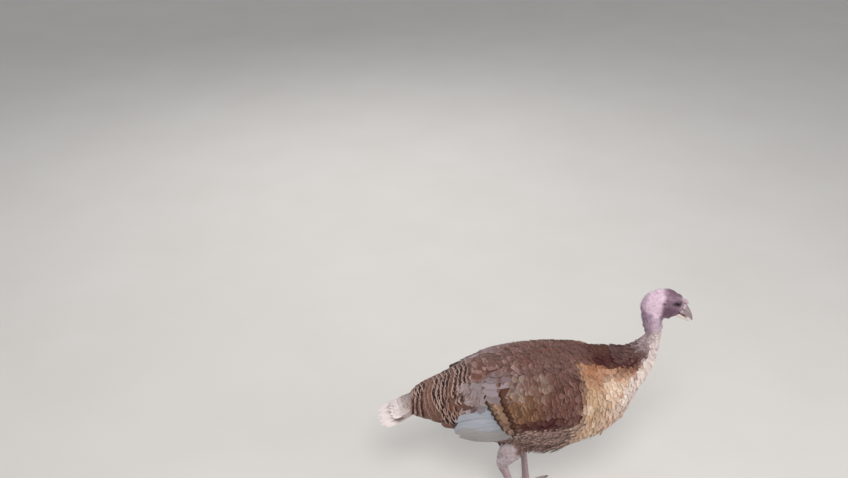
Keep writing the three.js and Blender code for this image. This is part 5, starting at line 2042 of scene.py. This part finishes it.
def rump_rows(surface, side, rng, over_flight):
    """Broad barred feathers set in arcs over the rump, furthest back at the side.

    They lie on the trunk, or, over_flight, on the upper part of the folded flight feathers.
    """
    feathers, strength, width = [], [], []
    for row, (middle, bars) in enumerate(RUMP_ROWS):
        curve = float(ease(middle, -304, -262))
        spacing = 6.5 + 5.0 * float(ease(middle, -230, -310))
        if over_flight:
            spacing *= 0.8
        for angle in np.arange(-50 + spacing * 0.5 * (row % 2), 93, spacing):
            bend = 9 * ((angle - 45) / 45) ** 2 if angle > 45 else 42 * curve * ((45 - angle) / 58) ** 1.6
            tip_x = middle + bend + rng.normal(0, 2.5 if over_flight and angle < 50 else 0.4)
            beyond = tip_x > -243
            if beyond != over_flight or (beyond and angle < np.interp(tip_x, *PANEL_TOP) + 4 * rng.random()):
                continue
            if not beyond and angle < -44:
                continue
            slant = 8 * float(ease(angle, 50, 5)) * curve
            feathers.append((tip_x + 42, angle + 1 + slant, tip_x, angle))
            crowded = 0.95 * float(ease(angle, 40, 24)) * (-264 < middle < -196)
            strength.append(max(bars, crowded))
            width.append(rng.uniform(21, 25) if over_flight else rng.uniform(27, 32))
    root, tip, normals, kept = set_in_rows(surface, feathers, side)
    low = ease(round_angle(tip), 32, 12)
    tip_lift = 1.2 + 4.6 * low if over_flight else 0.6 + 1.6 * ease(tip[:, 0], -290, -306)
    lift = (-2.5 + 3.5 * low if over_flight else -4.5, tip_lift)
    grown = grow_between(root, tip, normals, TRUNK, np.array(width)[kept], rng, lift, arch=0.3)
    patchy = 0.85 + 0.3 * ripple(tip, 18, 23)
    bars = np.array(strength)[kept]
    grown["mark"][:, 0] *= np.clip(bars * patchy, 0, 1)
    grown["mark"][:, 1] *= np.clip((0.35 + 0.65 * bars) * patchy, 0, 1)
    grown["mark"][:, 2] *= 0.5
    plain = ease(bars, 0.5, 0.2) * (tip[:, 0] < -230)
    grown["hue"] = toward(grown["hue"], RUMP_BUFF, 0.5 * plain)
    return grown


def in_down(roots):
    """Which feathers of the saddle belong to the plain soft patch behind the wing."""
    p = in_bird(roots["place"])
    angle = round_angle(p)
    return (p[:, 0] > -172 + 12 * ease(angle, 34, 16)) & (angle < 66)


def tail_top(surface, x, y, upward):
    """Where an upright line meets the tail or its root, from above or from below."""
    start = from_bird([x, y, 430 if upward else 150])
    return surface.ray_cast(Vector(start), Vector((0, 0, -1 if upward else 1)))[:2]


# Whether they lie above the tail: x of each row's tips, and how far they stand out there.
COVERT_TIPS = {
    True: [(-372, 0.4), (-362, 0.8), (-351, 1.2), (-341, 1.4), (-331, 1.4), (-321, 1.2)],
    False: [(-356, 1.5), (-343, 1.8), (-330, 2.0), (-317, 2.0), (-304, 2.0), (-291, 1.6)],
}
COVERT_GREY = {True: paint(162, 142, 138), False: paint(146, 126, 120)}
COVERT_DARK = paint(104, 82, 80)


def tail_coverts(surface, rng, upward):
    """Rows of soft pale feathers that fair the rump into the tail, above it or below it."""
    rows = COVERT_TIPS[upward]
    roots, tips, normals, lifts, steps = [], [], [], [], []
    for row, (tip_x, stand) in enumerate(rows):
        half = 20 + (-268 - tip_x) * 0.15
        for y in np.arange(-half + 4 * (row % 2), half + 1, 7.5):
            share = y / (half + 4)
            end_x = tip_x + 9 * share**2 + rng.normal(0, 1.8)
            tip, out = tail_top(surface, end_x, y, upward)
            root, out_root = tail_top(surface, end_x + 40, y * 0.76, upward)
            if tip is None or root is None:
                continue
            roots.append(in_bird(root))
            tips.append(in_bird(tip))
            normals.append(out + out_root)
            lifts.append(stand)
            steps.append(row / len(rows))
    root, tip, lift, step = np.array(roots), np.array(tips), np.array(lifts), np.array(steps)
    count = len(root)
    width = rng.uniform(15, 20, count)
    grown = grow_between(root, tip, unit(np.array(normals)), TRUNK, width, rng, (-4.0, lift))
    grey = COVERT_GREY[upward]
    dark = ease(step, 0.3, 0.8) * ease(ripple(tip, 13, 28), -0.3, 0.7)
    hue = washed(TAIL_CREAM, count, [(grey, ease(step, 0.1, 0.5)), (COVERT_DARK, 0.6 * dark)])
    grown["hue"] = hue * rng.uniform(0.94, 1.04, (count, 1))
    grown["tip_hue"] = washed(TAIL_CREAM, count, [(grey, 0.7 * ease(step, 0.2, 0.6))])
    grown["mark"][:, 0] = 0.25 * ease(step, 0.2, 0.7) * (rng.random(count) < 0.5)
    grown["mark"][:, 1] = 0.6
    grown["root_uv"] = unwrap(tip)
    return grown


def wing_coat(name, side, outer, trunk, rng):
    """Coverts, flank, tertials and flight feathers of one side."""
    coverts = wing_coverts(outer, side, rng)
    piece = lay_coat("wing_coverts_" + name, coverts, COVERT_VANES, outer_form, COVERT_FINISH)
    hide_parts("wing_" + name)
    streaks = flank_streaks(outer, side, rng)
    lay_coat("flank_feathers_" + name, streaks, LONG_VANES, outer_form, FLANK_FINISH)
    inner = tertials(outer, side, rng)
    lay_coat("tertials_" + name, inner, BROAD_VANES, outer_form, COVERT_FINISH)
    flight = flight_feathers(trunk, side, rng)
    title = "flight_feathers_" + name
    piece = lay_coat(title, flight, STIFF_VANES, trunk_form, FLIGHT_FINISH)
    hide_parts("flight_" + name)


def stiff_coat():
    """Wings, rump and tail: feathers set one by one in rows."""
    rng = np.random.default_rng(301)
    outer, trunk = surface_of(outer_form), surface_of(trunk_form)
    for name, side in SIDES.items():
        wing_coat(name, side, outer, trunk, rng)
    rump = gathered([rump_rows(trunk, side, rng, False) for side in SIDES.values()])
    lay_coat("rump_feathers", rump, RUMP_VANES, trunk_form, RUMP_FINISH)
    saddle = gathered([rump_rows(outer, side, rng, True) for side in SIDES.values()])
    soft = in_down(saddle)
    lay_coat("saddle_feathers", some(saddle, ~soft), RUMP_VANES, outer_form, RUMP_FINISH)
    lay_coat("down_feathers", some(saddle, soft), DOWN_VANES, outer_form, BODY_FINISH)
    for name, upward in (("tail_covert_feathers", True), ("undertail_feathers", False)):
        rows = tail_coverts(trunk, rng, upward)
        lay_coat(name, rows, DOWN_VANES, trunk_form, TAIL_COVERT_FINISH)
    fan = tail_feathers(rng)
    piece = lay_coat("tail_feathers", fan, STIFF_VANES, trunk_form, TAIL_FINISH)
    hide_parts("tail")


skin = joined_skin()
finish_skin(skin)
ride_root(skin)
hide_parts("head", "snood", "neck_upper", "neck_lower", "trunk", "thigh_left", "thigh_right",
            "shank_left", "shank_right", "foot_left", "foot_right")
for side_name in SIDES:
    eyeball(side_name)
bill_half("bill_upper_piece", "bill_upper")
bill_half("bill_lower_piece", "bill_lower")
make_tongue()
make_claws()
soft_coat()
head_bristles()
stiff_coat()

for form in (outer_form, trunk_form):
    drop(form)
VANE_SETS = (SMALL_VANES, BODY_VANES, COVERT_VANES, STIFF_VANES, BROAD_VANES, RUMP_VANES, DOWN_VANES,
             LONG_VANES, BRISTLES)
for vanes in VANE_SETS:
    for template in list(vanes.objects):
        drop(template)
    bpy.data.collections.remove(vanes)
